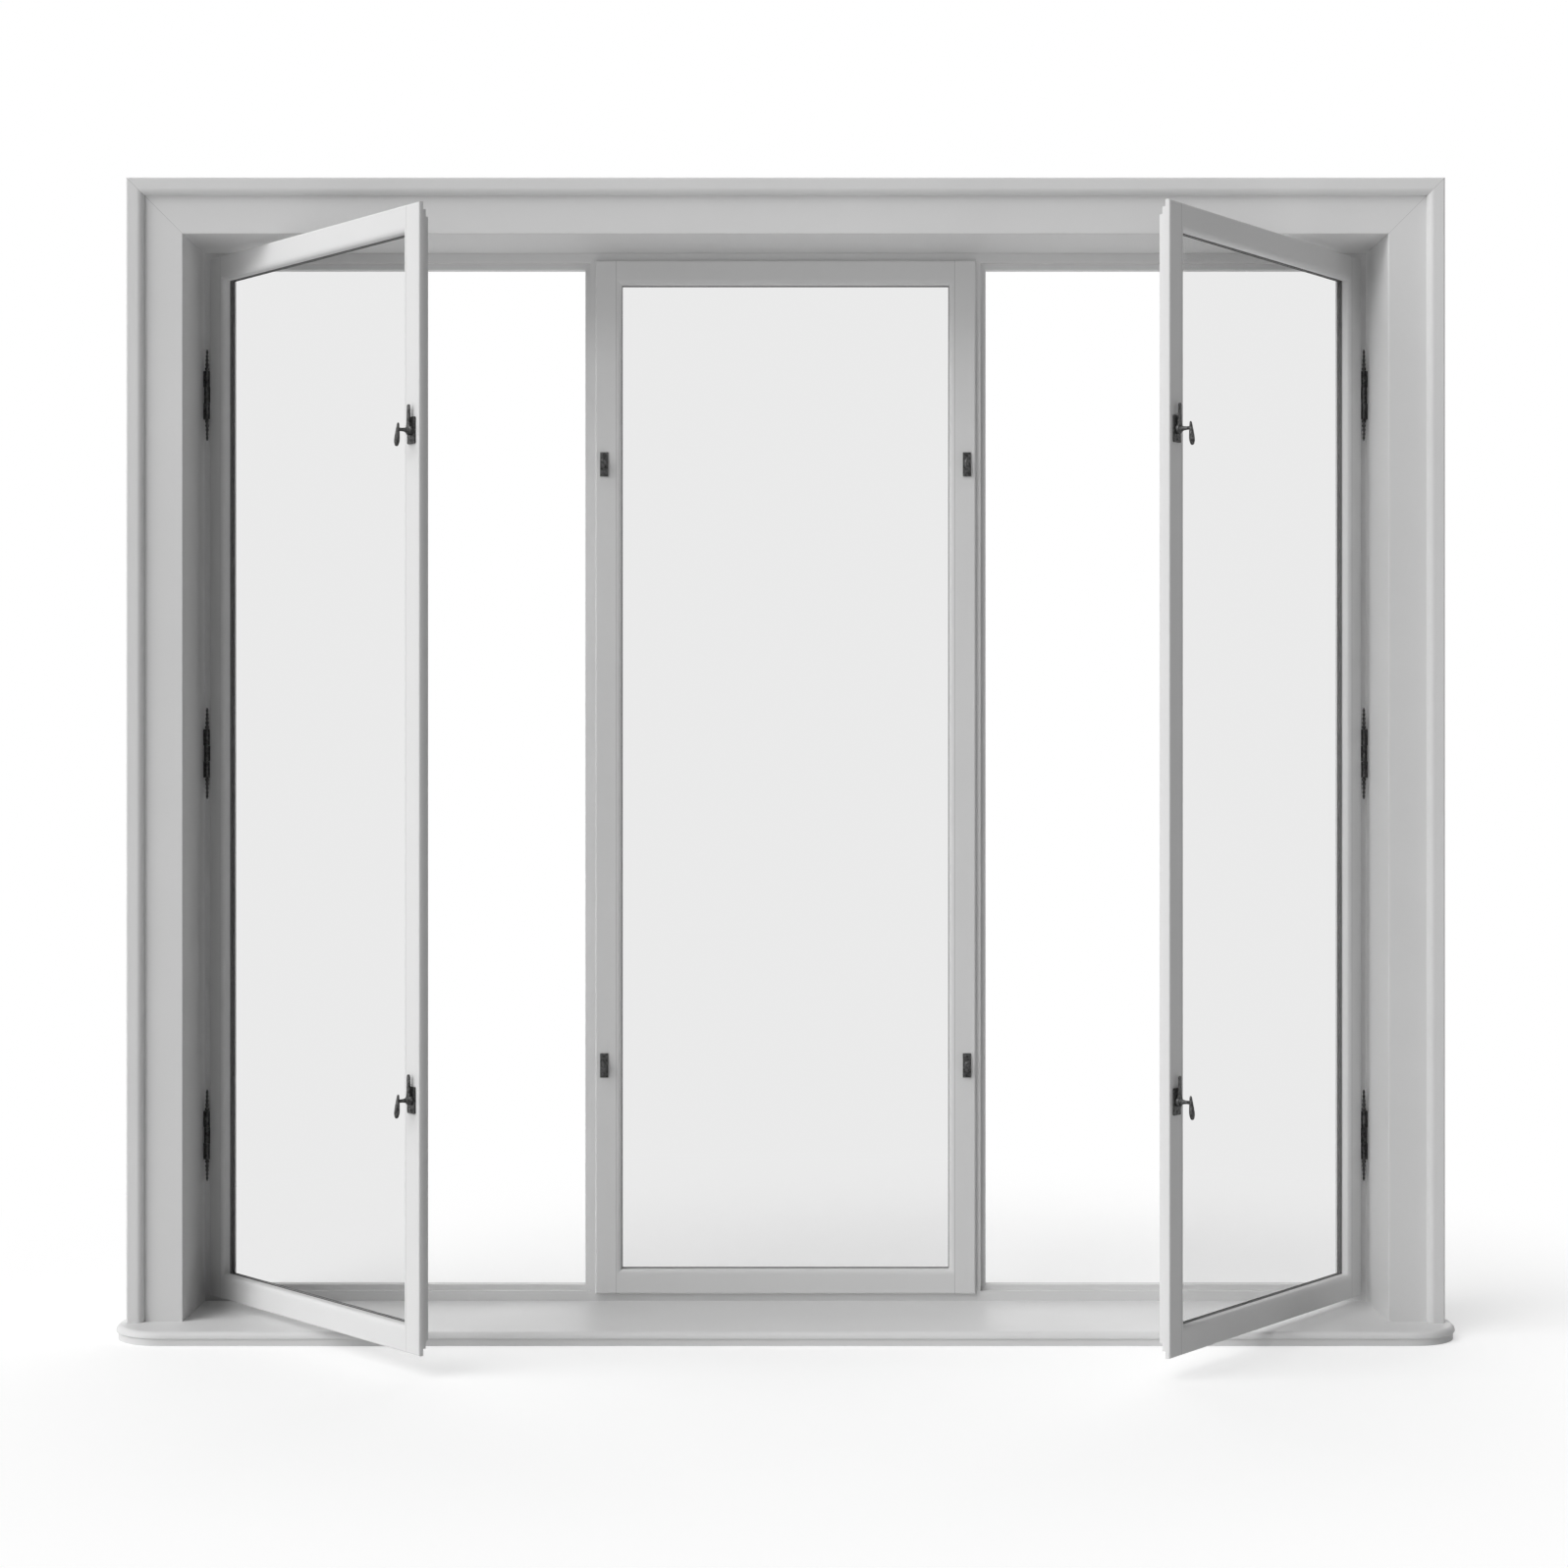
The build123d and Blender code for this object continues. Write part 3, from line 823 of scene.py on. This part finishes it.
@dataclass
class Sash:
    """One light: its painted members, pane, dark gaskets whose tone also paints in the shadow line round
    the pane, and, where it opens, its weather seal.
    """

    place: SashPlace
    finishes: Finishes
    stiles: tuple[str, str]
    glass_cover: float = 0.006
    gasket_width: float = 0.0006
    front_gasket_depth: float = 0.0034
    rear_gasket_depth: float = 0.0010
    seal_inset: float = 0.0070
    seal_width: float = 0.0048
    seal_depth: float = 0.0030
    lip_thickness: float = 0.0075

    def node(self, part: str) -> str:
        """Name of one of the sash's nodes."""
        return f"{self.place.name}_{part}"

    def dress(self, frame: dict[str, Any]) -> None:
        """Paint the members, with hairlines where rails meet stiles, and glaze the light.

        Args:
            frame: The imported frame.
        """
        low, high = self.place.closed_box(frame, self.node("top_rail"))
        lines = ButtLines(
            pivot=tuple(self.place.pivot.xy),
            turn=self.place.turn,
            centre=(low.x + high.x) / 2,
            half_span=(high.x - low.x) / 2,
        )
        finish = PaintFinish.smooth(f"{self.place.name}_sash_paint", lines).material()
        for part in (*self.stiles, "top_rail", "bottom_rail"):
            paint(frame["nodes"][self.node(part)], finish)
        paint(frame["nodes"][self.node("glass")], self.finishes.glass)

    def glaze(self, frame: dict[str, Any]) -> None:
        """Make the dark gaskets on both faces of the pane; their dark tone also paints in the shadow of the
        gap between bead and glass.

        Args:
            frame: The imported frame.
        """
        low, high = self.place.closed_box(frame, self.node("glass"))
        inset = self.glass_cover
        corner_low = Vector((low.x + inset, low.z + inset, 0))
        front, rear = self.front_gasket_depth, self.rear_gasket_depth
        rings = []
        for face, depth in ((low.y, front), (high.y + rear, rear)):
            corner_high = Vector((high.x - inset, high.z - inset, depth))
            # Each ring is a real gasket strip that also stands in for the painted shadow line between bead
            # and glass.
            ring = Bench.ring("gasket", corner_low, corner_high, self.gasket_width)
            rings.append(Bench.place(ring, self.place.elevation(face)))
        gasket = Bench.join(self.node("glazing_gasket"), rings)
        Bench.dress(gasket, self.finishes.gasket, Slot.FRAME, self.place.body)

    def seal(self, frame: dict[str, Any]) -> None:
        """Make the weather seal in the groove behind the lip.

        Args:
            frame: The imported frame.
        """
        stile_low, stile_high = self.place.closed_box(frame, self.node(self.stiles[0]))
        other_low, other_high = self.place.closed_box(frame, self.node(self.stiles[1]))
        left, right = min(stile_low.x, other_low.x), max(stile_high.x, other_high.x)
        inset = self.seal_inset
        corner_low = Vector((left + inset, stile_low.z + inset, 0))
        corner_high = Vector((right - inset, stile_high.z - inset, self.seal_depth))
        ring = Bench.ring(self.node("weather_seal"), corner_low, corner_high, self.seal_width)
        groove_back = stile_low.y + self.lip_thickness + self.seal_depth
        Bench.place(ring, self.place.elevation(groove_back))
        Bench.dress(ring, self.finishes.seal, Slot.FRAME, self.place.body)


@dataclass
class Screw:
    """Round-headed slotted screw, modelled once along Z."""

    radius: float = 0.0024
    rise: float = 0.0011
    slot_width: float = 0.0007
    slot_depth: float = 0.0006
    sink: float = 0.0004
    sides: int = 20

    def model(self) -> bpy.types.Object:
        """Turn the head and cut its slot.

        Returns:
            The screw, at the origin.
        """
        head = Bench.turn(
            "screw",
            [
                (self.radius, -self.sink),
                (self.radius, self.rise * 0.3),
                (self.radius * 0.85, self.rise * 0.7),
                (self.radius * 0.5, self.rise * 0.95),
                (self.radius * 0.15, self.rise),
            ],
            sides=self.sides,
        )
        half = self.slot_width / 2
        low = Vector((-half, -2 * self.radius, self.rise - self.slot_depth))
        high = Vector((half, 2 * self.radius, 2 * self.rise))
        return Bench.cut(head, Bench.block("slot_cutter", low, high, self.slot_width / 10))


@dataclass
class CockspurHandle:
    """Turning part of a cockspur handle, drawn with its pivot at the origin, Y up and Z into the room."""

    finishes: Finishes
    plate_thickness: float = 0.0026
    plate_screw_rise: float = 0.0150
    screw_turns: tuple[float, float] = (35.0, 85.0)
    spindle_radius: float = 0.0030
    spindle_start: float = 0.0002
    spindle_overlap: float = 0.001
    boss_radius: float = 0.0075
    boss_base: float = 0.0029
    boss_top: float = 0.0084
    tongue_length: float = 0.0385
    tongue_root: float = 0.0090
    tongue_tip: float = 0.0056
    tongue_thickness: float = 0.0040
    tongue_lift: float = 0.0014
    tongue_edge: float = 0.0008
    tongue_edge_angle: float = 50.0
    shank_length: float = 0.0160
    shank_end: float = 0.0029
    shank_turning: tuple[Station, ...] = (
        (0.0052, -0.0008), (0.0054, 0.0006), (0.0050, 0.0014), (0.0037, 0.0030), (0.0030, 0.0060),
        (0.0026, 0.0100), (0.0027, 0.0140),
    )
    grip_length: float = 0.0355
    grip_above: float = 0.0100
    grip_radius: float = 0.0042
    grip_lean: float = 5.0

    def tongue(self) -> bpy.types.Object:
        """Shape the tongue: a bar that waists above the boss and narrows to a rounded tip.

        Returns:
            The tongue.
        """
        Bench.clear()
        bpy.ops.mesh.primitive_plane_add(size=1)
        piece = Bench.name(bpy.context.object, "tongue")
        base = self.boss_base + self.tongue_lift
        middle = base + self.tongue_thickness / 2
        Bench.edit(piece)
        bpy.ops.transform.rotate(value=math.pi / 2, orient_axis="X", center_override=(0, 0, 0))
        width, depth = self.tongue_root, self.tongue_thickness
        bpy.ops.transform.resize(value=(width, 1, depth), center_override=(0, 0, 0))
        bpy.ops.transform.translate(value=(0, 0, middle))
        height = 0.0
        steps = (
            (0.006, self.tongue_root * 0.95, 1.0),
            (0.011, self.tongue_root * 0.72, 0.95),
            (0.020, self.tongue_tip * 1.1, 0.9),
            (0.036, self.tongue_tip, 0.85),
            (self.tongue_length, self.tongue_tip * 0.55, 0.6),
        )
        for next_height, next_width, depth_share in steps:
            bpy.ops.mesh.extrude_region_move(TRANSFORM_OT_translate={"value": (0, next_height - height, 0)})
            next_depth = self.tongue_thickness * depth_share
            scale = (next_width / width, 1, next_depth / depth)
            bpy.ops.transform.resize(value=scale, center_override=(0, 0, middle))
            height, width, depth = next_height, next_width, next_depth
        Bench.shut(piece)
        bpy.ops.object.modifier_add(type="BEVEL")
        bevel = piece.modifiers[-1]
        bevel.width = self.tongue_edge
        bevel.segments = ROUND_SEGMENTS
        bevel.limit_method = "ANGLE"
        bevel.angle_limit = math.radians(self.tongue_edge_angle)
        bpy.ops.object.modifier_apply(modifier=bevel.name)
        return piece

    def grip(self) -> bpy.types.Object:
        """Turn the drop-shaped grip and hang it, leaning, on the end of the shank.

        Returns:
            The grip.
        """
        length, radius = self.grip_length, self.grip_radius
        profile = (
            (0.25, 0.000), (0.52, 0.022), (0.70, 0.060), (0.80, 0.100), (0.94, 0.160), (1.00, 0.240),
            (0.98, 0.340), (0.88, 0.480), (0.74, 0.640), (0.60, 0.780), (0.50, 0.880), (0.42, 0.950),
            (0.26, 0.988), (0.10, 1.000),
        )
        piece = Bench.turn("grip", [(radius * share, length * rise) for share, rise in profile])
        reach = self.boss_top + self.shank_length
        bottom = self.grip_above - length
        lean = Matrix.Rotation(math.radians(-self.grip_lean), 4, "X")
        upright = Matrix.Rotation(-math.pi / 2, 4, "X")
        top = Matrix.Translation((0, self.grip_above, reach))
        hang = Matrix.Translation((0, bottom - self.grip_above, 0))
        return Bench.place(piece, top @ lean @ hang @ upright)

    def model(self) -> bpy.types.Object:
        """Make the whole casting.

        Returns:
            The handle, with its pivot at the origin.
        """
        spindle_end = self.boss_base + self.spindle_overlap
        spindle = Bench.turn(
            "spindle", [(self.spindle_radius, self.spindle_start), (self.spindle_radius, spindle_end)]
        )
        boss = Bench.turn(
            "boss",
            [
                (self.boss_radius * 0.93, self.boss_base),
                (self.boss_radius, self.boss_base + 0.0006),
                (self.boss_radius, self.boss_top - 0.0016),
                (self.boss_radius * 0.92, self.boss_top - 0.0006),
                (self.boss_radius * 0.74, self.boss_top),
            ],
        )
        shank_stations = [(radius, self.boss_top + rise) for radius, rise in self.shank_turning]
        shank_stations.append((self.shank_end, self.boss_top + self.shank_length))
        shank = Bench.turn("shank", shank_stations)
        return Bench.join("cockspur_handle", [boss, spindle, shank, self.tongue(), self.grip()])

    @staticmethod
    def seat(joint: dict[str, Any]) -> Matrix:
        """Matrix from the drawing to a handle's place at rest.

        Args:
            joint: The handle's joint.

        Returns:
            The matrix.
        """
        out = Vector(joint["axis"])
        if out.y > 0:
            out.negate()
        along = UP.cross(out)
        turn = Matrix((along, UP, out)).transposed().to_4x4()
        return Matrix.Translation(joint["pos_m"]) @ turn

    def build(self, frame: dict[str, Any]) -> None:
        """Put a handle on each spindle and screws on each plate.

        Args:
            frame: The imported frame.
        """
        joints = {joint["child"]: joint for joint in frame["joints"]}
        pattern = self.model()
        screw = Screw().model()
        for side in Side:
            screws = []
            for place in ("lower", "upper"):
                body = f"{side.value}_{place}_handle"
                seat = self.seat(joints[body])
                casting = Bench.copy(pattern, f"{body}_casting", seat)
                Bench.dress(casting, self.finishes.iron, Slot.IRON, body, body)
                for rise, angle in zip((self.plate_screw_rise, -self.plate_screw_rise), self.screw_turns):
                    spot = Matrix.Translation((0, rise, self.plate_thickness))
                    turned = Matrix.Rotation(math.radians(angle), 4, "Z")
                    screws.append(Bench.copy(screw, "plate_screw", seat @ spot @ turned))
            joined = Bench.join(f"{side.value}_handle_plate_screws", screws)
            Bench.dress(joined, self.finishes.iron, Slot.IRON, f"{side.value}_casement")
            paint(frame["nodes"][f"{side.value}_handle_plates"], self.finishes.iron)
        Bench.discard(pattern)
        Bench.discard(screw)


@dataclass
class Keepers:
    """Hook plates on the fixed light, drawn with Y up and Z into the room."""

    finishes: Finishes
    plate: tuple[float, float, float] = (0.0135, 0.040, 0.0024)
    hook: tuple[float, float, float] = (0.0100, 0.019, 0.0030)
    plate_edge: float = 0.0006
    hook_wall: float = 0.0022
    wall_edge: float = 0.0004
    screw_rise: float = 0.0155
    screw_radius: float = 0.0020
    screw_head: float = 0.0009

    def model(self, reach: float, sign: int) -> bpy.types.Object:
        """Make one keeper.

        Args:
            reach: Distance of the hook's front from the sash.
            sign: Side of the window that the keeper serves.

        Returns:
            The keeper, centred on its plate.
        """
        width, height, thickness = self.plate
        plate_low = Vector((-width / 2, -height / 2, 0))
        plate_high = Vector((width / 2, height / 2, thickness))
        plate = Bench.block("keeper_plate", plate_low, plate_high, self.plate_edge)
        wide, tall, thick = self.hook
        wall_middle = sign * (self.hook_wall - wide) / 2
        wall = Bench.block(
            "keeper_wall",
            Vector((wall_middle - self.hook_wall / 2, -tall / 4, thickness / 2)),
            Vector((wall_middle + self.hook_wall / 2, tall / 4, reach - thick / 2)),
            self.wall_edge,
        )
        hook = Bench.turn(
            "keeper_hook",
            [(0.90, 0.0), (1.00, 0.12), (1.00, 0.55), (0.90, 0.80), (0.68, 0.95), (0.35, 1.0)],
        )
        oval = Matrix.Diagonal((wide / 2, tall / 2, thick, 1))
        Bench.place(hook, Matrix.Translation((0, 0, reach - thick)) @ oval)
        return Bench.join("keeper", [plate, wall, hook])

    def build(self, frame: dict[str, Any]) -> None:
        """Put both keepers of each side on the fixed light, with their screws.

        Args:
            frame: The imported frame.
        """
        joints = {joint["child"]: joint for joint in frame["joints"]}
        screw = Screw(radius=self.screw_radius, rise=self.screw_head).model()
        for side in Side:
            node = f"{side.value}_keepers"
            low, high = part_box(node)
            pattern = self.model(high.y - low.y, side.sign)
            pieces = []
            for place in ("lower", "upper"):
                height = joints[f"{side.value}_{place}_handle"]["pos_m"][2]
                face = Matrix(
                    ((1, 0, 0, (low.x + high.x) / 2), (0, 0, -1, high.y), (0, 1, 0, height), (0, 0, 0, 1))
                )
                pieces.append(Bench.copy(pattern, "keeper", face))
                for rise in (self.screw_rise, -self.screw_rise):
                    spot = Matrix.Translation((0, rise, self.plate[2]))
                    pieces.append(Bench.copy(screw, "keeper_screw", face @ spot))
            keepers = Bench.join(f"{side.value}_hook_keepers", pieces)
            Bench.dress(keepers, self.finishes.iron, Slot.IRON, "window", node)
            Bench.discard(pattern)
        Bench.discard(screw)


@dataclass
class FinialHinges:
    """Frame halves of the finial hinges: leaf, two knuckles, pin and two turned finials."""

    finishes: Finishes
    knuckle_radius: float = 0.0045
    knuckle_length: float = 0.0266
    knuckle_gap: float = 0.0004
    knuckles: int = 3
    knuckle_ease: float = 0.0005
    knuckle_end: float = 0.9
    pin_radius: float = 0.0020
    leaf_thickness: float = 0.0024
    leaf_clearance: float = 0.0010
    leaf_edge: float = 0.0002
    neck: float = 0.0024
    neck_sink: float = 0.0010
    bead: float = 0.0037
    bead_length: float = 0.0070
    bead_count: int = 4
    bead_taper: float = 0.12
    bead_groove: float = 0.6
    bead_steps: int = 6
    tip: float = 0.0020
    tip_length: float = 0.0080
    heights: tuple[float, float, float] = (0.299, 0.931, 1.524)

    def finial(self) -> bpy.types.Object:
        """Turn one finial upwards from the origin: beads that grow smaller, then a blunt tip.

        Returns:
            The finial.
        """
        steps = self.bead_steps
        groove = self.bead_groove
        stations: list[Station] = [(self.neck, -self.neck_sink)]
        for number in range(self.bead_count):
            shrink = 1 - self.bead_taper * number
            for step in range(1, steps):
                swell = math.sin(math.pi * step / steps)
                full = self.neck + (self.bead - self.neck) * swell
                radius = shrink * full * (groove + (1 - groove) * swell)
                stations.append((radius, self.bead_length * (number + step / steps)))
        base = self.bead_count * self.bead_length
        for share, rise in ((0.70, 0.0), (1.00, 0.30), (0.85, 0.60), (0.50, 0.88), (0.10, 1.0)):
            stations.append((self.tip * share, base + self.tip_length * rise))
        return Bench.turn("finial", stations)

    def model(self, sign: int, leaf_back: float, leaf_depth: float) -> bpy.types.Object:
        """Make one frame half about the hinge line at the origin.

        Args:
            sign: Side of the window.
            leaf_back: Distance from the hinge line to the face that the leaf lies on.
            leaf_depth: Distance from the hinge line to the leaf's far edge.

        Returns:
            The frame half.
        """
        half = self.knuckles / 2 * self.knuckle_length
        radius = self.knuckle_radius
        ease, end_radius = self.knuckle_ease, self.knuckle_radius * self.knuckle_end
        pieces = []
        for start in (-half, half - self.knuckle_length + self.knuckle_gap):
            end = start + self.knuckle_length - self.knuckle_gap
            profile = [(end_radius, start), (radius, start + ease), (radius, end - ease), (end_radius, end)]
            pieces.append(Bench.turn("knuckle", profile))
            web_low = Vector((leaf_back - self.leaf_thickness, 0, start))
            web_high = Vector((leaf_back, radius + self.leaf_clearance, end))
            pieces.append(self.plate("knuckle_web", sign, web_low, web_high))
        pieces.append(Bench.turn("hinge_pin", [(self.pin_radius, -half), (self.pin_radius, half)]))
        leaf_low = Vector((leaf_back - self.leaf_thickness, radius + self.leaf_clearance, -half))
        pieces.append(self.plate("hinge_leaf", sign, leaf_low, Vector((leaf_back, leaf_depth, half))))
        finial = self.finial()
        flip = Matrix.Rotation(math.pi, 4, "X")
        pieces.append(Bench.copy(finial, "lower_finial", Matrix.Translation((0, 0, -half)) @ flip))
        pieces.append(Bench.place(finial, Matrix.Translation((0, 0, half))))
        return Bench.join("finial_hinge", pieces)

    def plate(self, name: str, sign: int, low: Vector, high: Vector) -> bpy.types.Object:
        """A leaf plate, given for the right side and mirrored for the left."""
        if sign < 0:
            low, high = Vector((-high.x, low.y, low.z)), Vector((-low.x, high.y, high.z))
        return Bench.block(name, low, high, self.leaf_edge)

    def build(self, frame: dict[str, Any]) -> None:
        """Hang three frame halves on each side.

        Args:
            frame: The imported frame.
        """
        for side in Side:
            node = f"{side.value}_frame_hinges"
            low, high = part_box(node)
            joint = next(joint for joint in frame["joints"] if joint["child"] == f"{side.value}_casement")
            line = Vector(joint["pos_m"])
            back = abs(high.x - line.x) if side is Side.RIGHT else abs(line.x - low.x)
            pattern = self.model(side.sign, back, high.y - line.y)
            pieces = [
                Bench.copy(pattern, "finial_hinge", Matrix.Translation((line.x, line.y, height)))
                for height in self.heights
            ]
            hinges = Bench.join(f"{side.value}_finial_hinges", pieces)
            Bench.dress(hinges, self.finishes.iron, Slot.IRON, "window", node)
            Bench.discard(pattern)
            paint(frame["nodes"][f"{side.value}_sash_hinges"], self.finishes.iron)


@dataclass(frozen=True)
class Lamp:
    """A far, soft lamp: the direction from the window to it, and the angle that it takes up in the sky."""

    name: str
    direction: tuple[float, float, float]
    spread: float
    strength: float
    shows_in_glass: bool = True
    distance: float = 6.0

    def hang(self) -> None:
        """Hang the lamp."""
        Bench.clear()
        place = Vector(self.direction).normalized() * self.distance
        bpy.ops.object.light_add(type="SUN", location=place)
        lamp = bpy.context.object
        lamp.name = self.name
        lamp.data.angle = math.radians(self.spread)
        lamp.data.energy = self.strength
        lamp.visible_transmission = self.shows_in_glass
        lamp.rotation_euler = (-place).to_track_quat("-Z", "Y").to_euler()


@dataclass
class Studio:
    """Pale floor, white surround, soft far lamps and the camera."""

    camera_place: tuple[float, float, float] = (-0.0025, -4.5, 0.9162)
    lens: float = 64.36
    sensor: float = 36.0
    framing_shift: float = -0.01378
    ambient: float = 0.01
    floor_tone: float = 0.65
    floor_glow: float = 0.46
    floor_lift: float = 0.14
    floor_size: float = 60.0
    white_starts: float = 0.9
    white_ends: float = 2.0
    lamps: tuple[Lamp, ...] = (
        Lamp("side_lamp", (-0.97, -0.20, 0.10), 60.0, 0.94),
        Lamp("key_lamp", (-0.55, -0.45, 0.70), 50.0, 1.50),
        Lamp("front_lamp", (-0.66, -0.66, 0.36), 50.0, 0.66),
        Lamp("top_lamp", (0.0, -0.05, 1.0), 70.0, 0.58),
        Lamp("back_lamp", (0.0, 0.75, 0.65), 60.0, 0.72, shows_in_glass=False),
    )

    @staticmethod
    def seen(tree: bpy.types.NodeTree) -> bpy.types.NodeSocket:
        """One for rays that show the background, and nothing for those that light the window.

        A ray that left a dull surface before it passed a pane counts as light, or the panes would be lamps.

        Args:
            tree: Node tree to work in.

        Returns:
            The value.
        """
        path = tree.nodes.new("ShaderNodeLightPath")
        value = path.outputs["Is Camera Ray"]
        for ray in ("Is Glossy Ray", "Is Transmission Ray"):
            larger = tree.nodes.new("ShaderNodeMath")
            larger.operation = "MAXIMUM"
            tree.links.new(value, larger.inputs[0])
            tree.links.new(path.outputs[ray], larger.inputs[1])
            value = larger.outputs[0]
        fresh = tree.nodes.new("ShaderNodeMath")
        fresh.operation = "SUBTRACT"
        fresh.use_clamp = True
        tree.links.new(value, fresh.inputs[0])
        tree.links.new(path.outputs["Diffuse Depth"], fresh.inputs[1])
        return fresh.outputs[0]

    def surround(self) -> None:
        """Make the world: white where it shows, and nearly dark where it would light."""
        world = bpy.data.worlds.new("studio")
        bpy.context.scene.world = world
        world.use_nodes = True
        tree = world.node_tree
        strength = tree.nodes.new("ShaderNodeMapRange")
        strength.inputs["To Min"].default_value = self.ambient
        strength.inputs["To Max"].default_value = 1.0
        tree.links.new(self.seen(tree), strength.inputs["Value"])
        background = tree.nodes["Background"]
        background.inputs["Color"].default_value = (1, 1, 1, 1)
        tree.links.new(strength.outputs["Result"], background.inputs["Strength"])

    def floor(self) -> None:
        """Lay the floor, which keeps the window's shadow and brightens to white away from it."""
        Bench.clear()
        bpy.ops.mesh.primitive_plane_add(size=self.floor_size)
        floor = Bench.name(bpy.context.object, "studio_floor")
        sheet = NodeSheet("floor_white")
        away = sheet.add("ShaderNodeVectorMath", {"Vector": sheet.coordinates()}, operation="LENGTH")
        rise = sheet.add(
            "ShaderNodeMapRange",
            {
                "Value": away.outputs["Value"],
                "From Min": self.white_starts,
                "From Max": self.white_ends,
            },
            interpolation_type="SMOOTHSTEP",
        )
        seen = self.seen(sheet.tree)
        diffuse = sheet.add("ShaderNodeBsdfDiffuse", {"Color": (self.floor_tone,) * 3 + (1,)})
        lift_range = {"Value": seen, "To Min": self.floor_lift, "To Max": self.floor_glow}
        glow = sheet.add("ShaderNodeMapRange", lift_range).outputs["Result"]
        lift = sheet.add("ShaderNodeEmission", {"Color": (1, 1, 1, 1), "Strength": glow})
        near = sheet.tree.nodes.new("ShaderNodeAddShader")
        sheet.feed(near.inputs[0], diffuse.outputs["BSDF"])
        sheet.feed(near.inputs[1], lift.outputs["Emission"])
        far = sheet.add("ShaderNodeEmission", {"Color": (1, 1, 1, 1), "Strength": 1.0})
        both = sheet.tree.nodes.new("ShaderNodeMixShader")
        sheet.feed(both.inputs[0], sheet.math("MULTIPLY", seen, rise.outputs["Result"]))
        sheet.feed(both.inputs[1], near.outputs["Shader"])
        sheet.feed(both.inputs[2], far.outputs["Emission"])
        sheet.feed(sheet.output.inputs["Surface"], both.outputs["Shader"])
        floor.data.materials.append(sheet.material)

    def camera(self) -> None:
        """Set the camera level, in front of the window."""
        Bench.clear()
        bpy.ops.object.camera_add(location=self.camera_place, rotation=(math.pi / 2, 0, 0))
        camera = bpy.context.object
        camera.data.lens = self.lens
        camera.data.sensor_width = self.sensor
        camera.data.shift_y = self.framing_shift
        bpy.context.scene.camera = camera

    def build(self) -> None:
        """Set up the whole studio."""
        self.surround()
        self.floor()
        for lamp in self.lamps:
            lamp.hang()
        self.camera()
        bpy.context.scene.view_settings.view_transform = "Standard"


def paint(node: bpy.types.Object, material: bpy.types.Material) -> None:
    """Put a finish on all slots of a node.

    Args:
        node: The node's object.
        material: The finish.
    """
    if not node.material_slots:
        node.data.materials.append(material)
    for slot in node.material_slots:
        slot.material = material


def main() -> None:
    """Build the window's looks in order."""
    logging.basicConfig(level=logging.INFO, format="%(name)s: %(message)s")
    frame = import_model()
    casing_low, casing_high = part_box("casing_head")
    _, leg_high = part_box("casing_left")
    mitre = MitreLines(offset=casing_high.x - casing_high.z)
    LOG.info("casing head from %.3f to %.3f m, legs to %.3f m", casing_low.x, casing_high.x, leg_high.z)
    finishes = Finishes.mixed(mitre)
    Trim(finishes).dress(frame)
    OuterFrame(finishes).dress(frame)
    fixed = SashPlace("fixed", "window", Vector((0, 0, 0)), 0.0)
    middle = Sash(fixed, finishes, ("stile_left", "stile_right"))
    middle.dress(frame)
    middle.glaze(frame)
    for side in Side:
        casement = Sash(SashPlace.casement(frame, side), finishes, ("hinge_stile", "lock_stile"))
        casement.dress(frame)
        casement.glaze(frame)
        casement.seal(frame)
    CockspurHandle(finishes).build(frame)
    Keepers(finishes).build(frame)
    FinialHinges(finishes).build(frame)
    Studio().build()


if __name__ == "__main__":
    main()
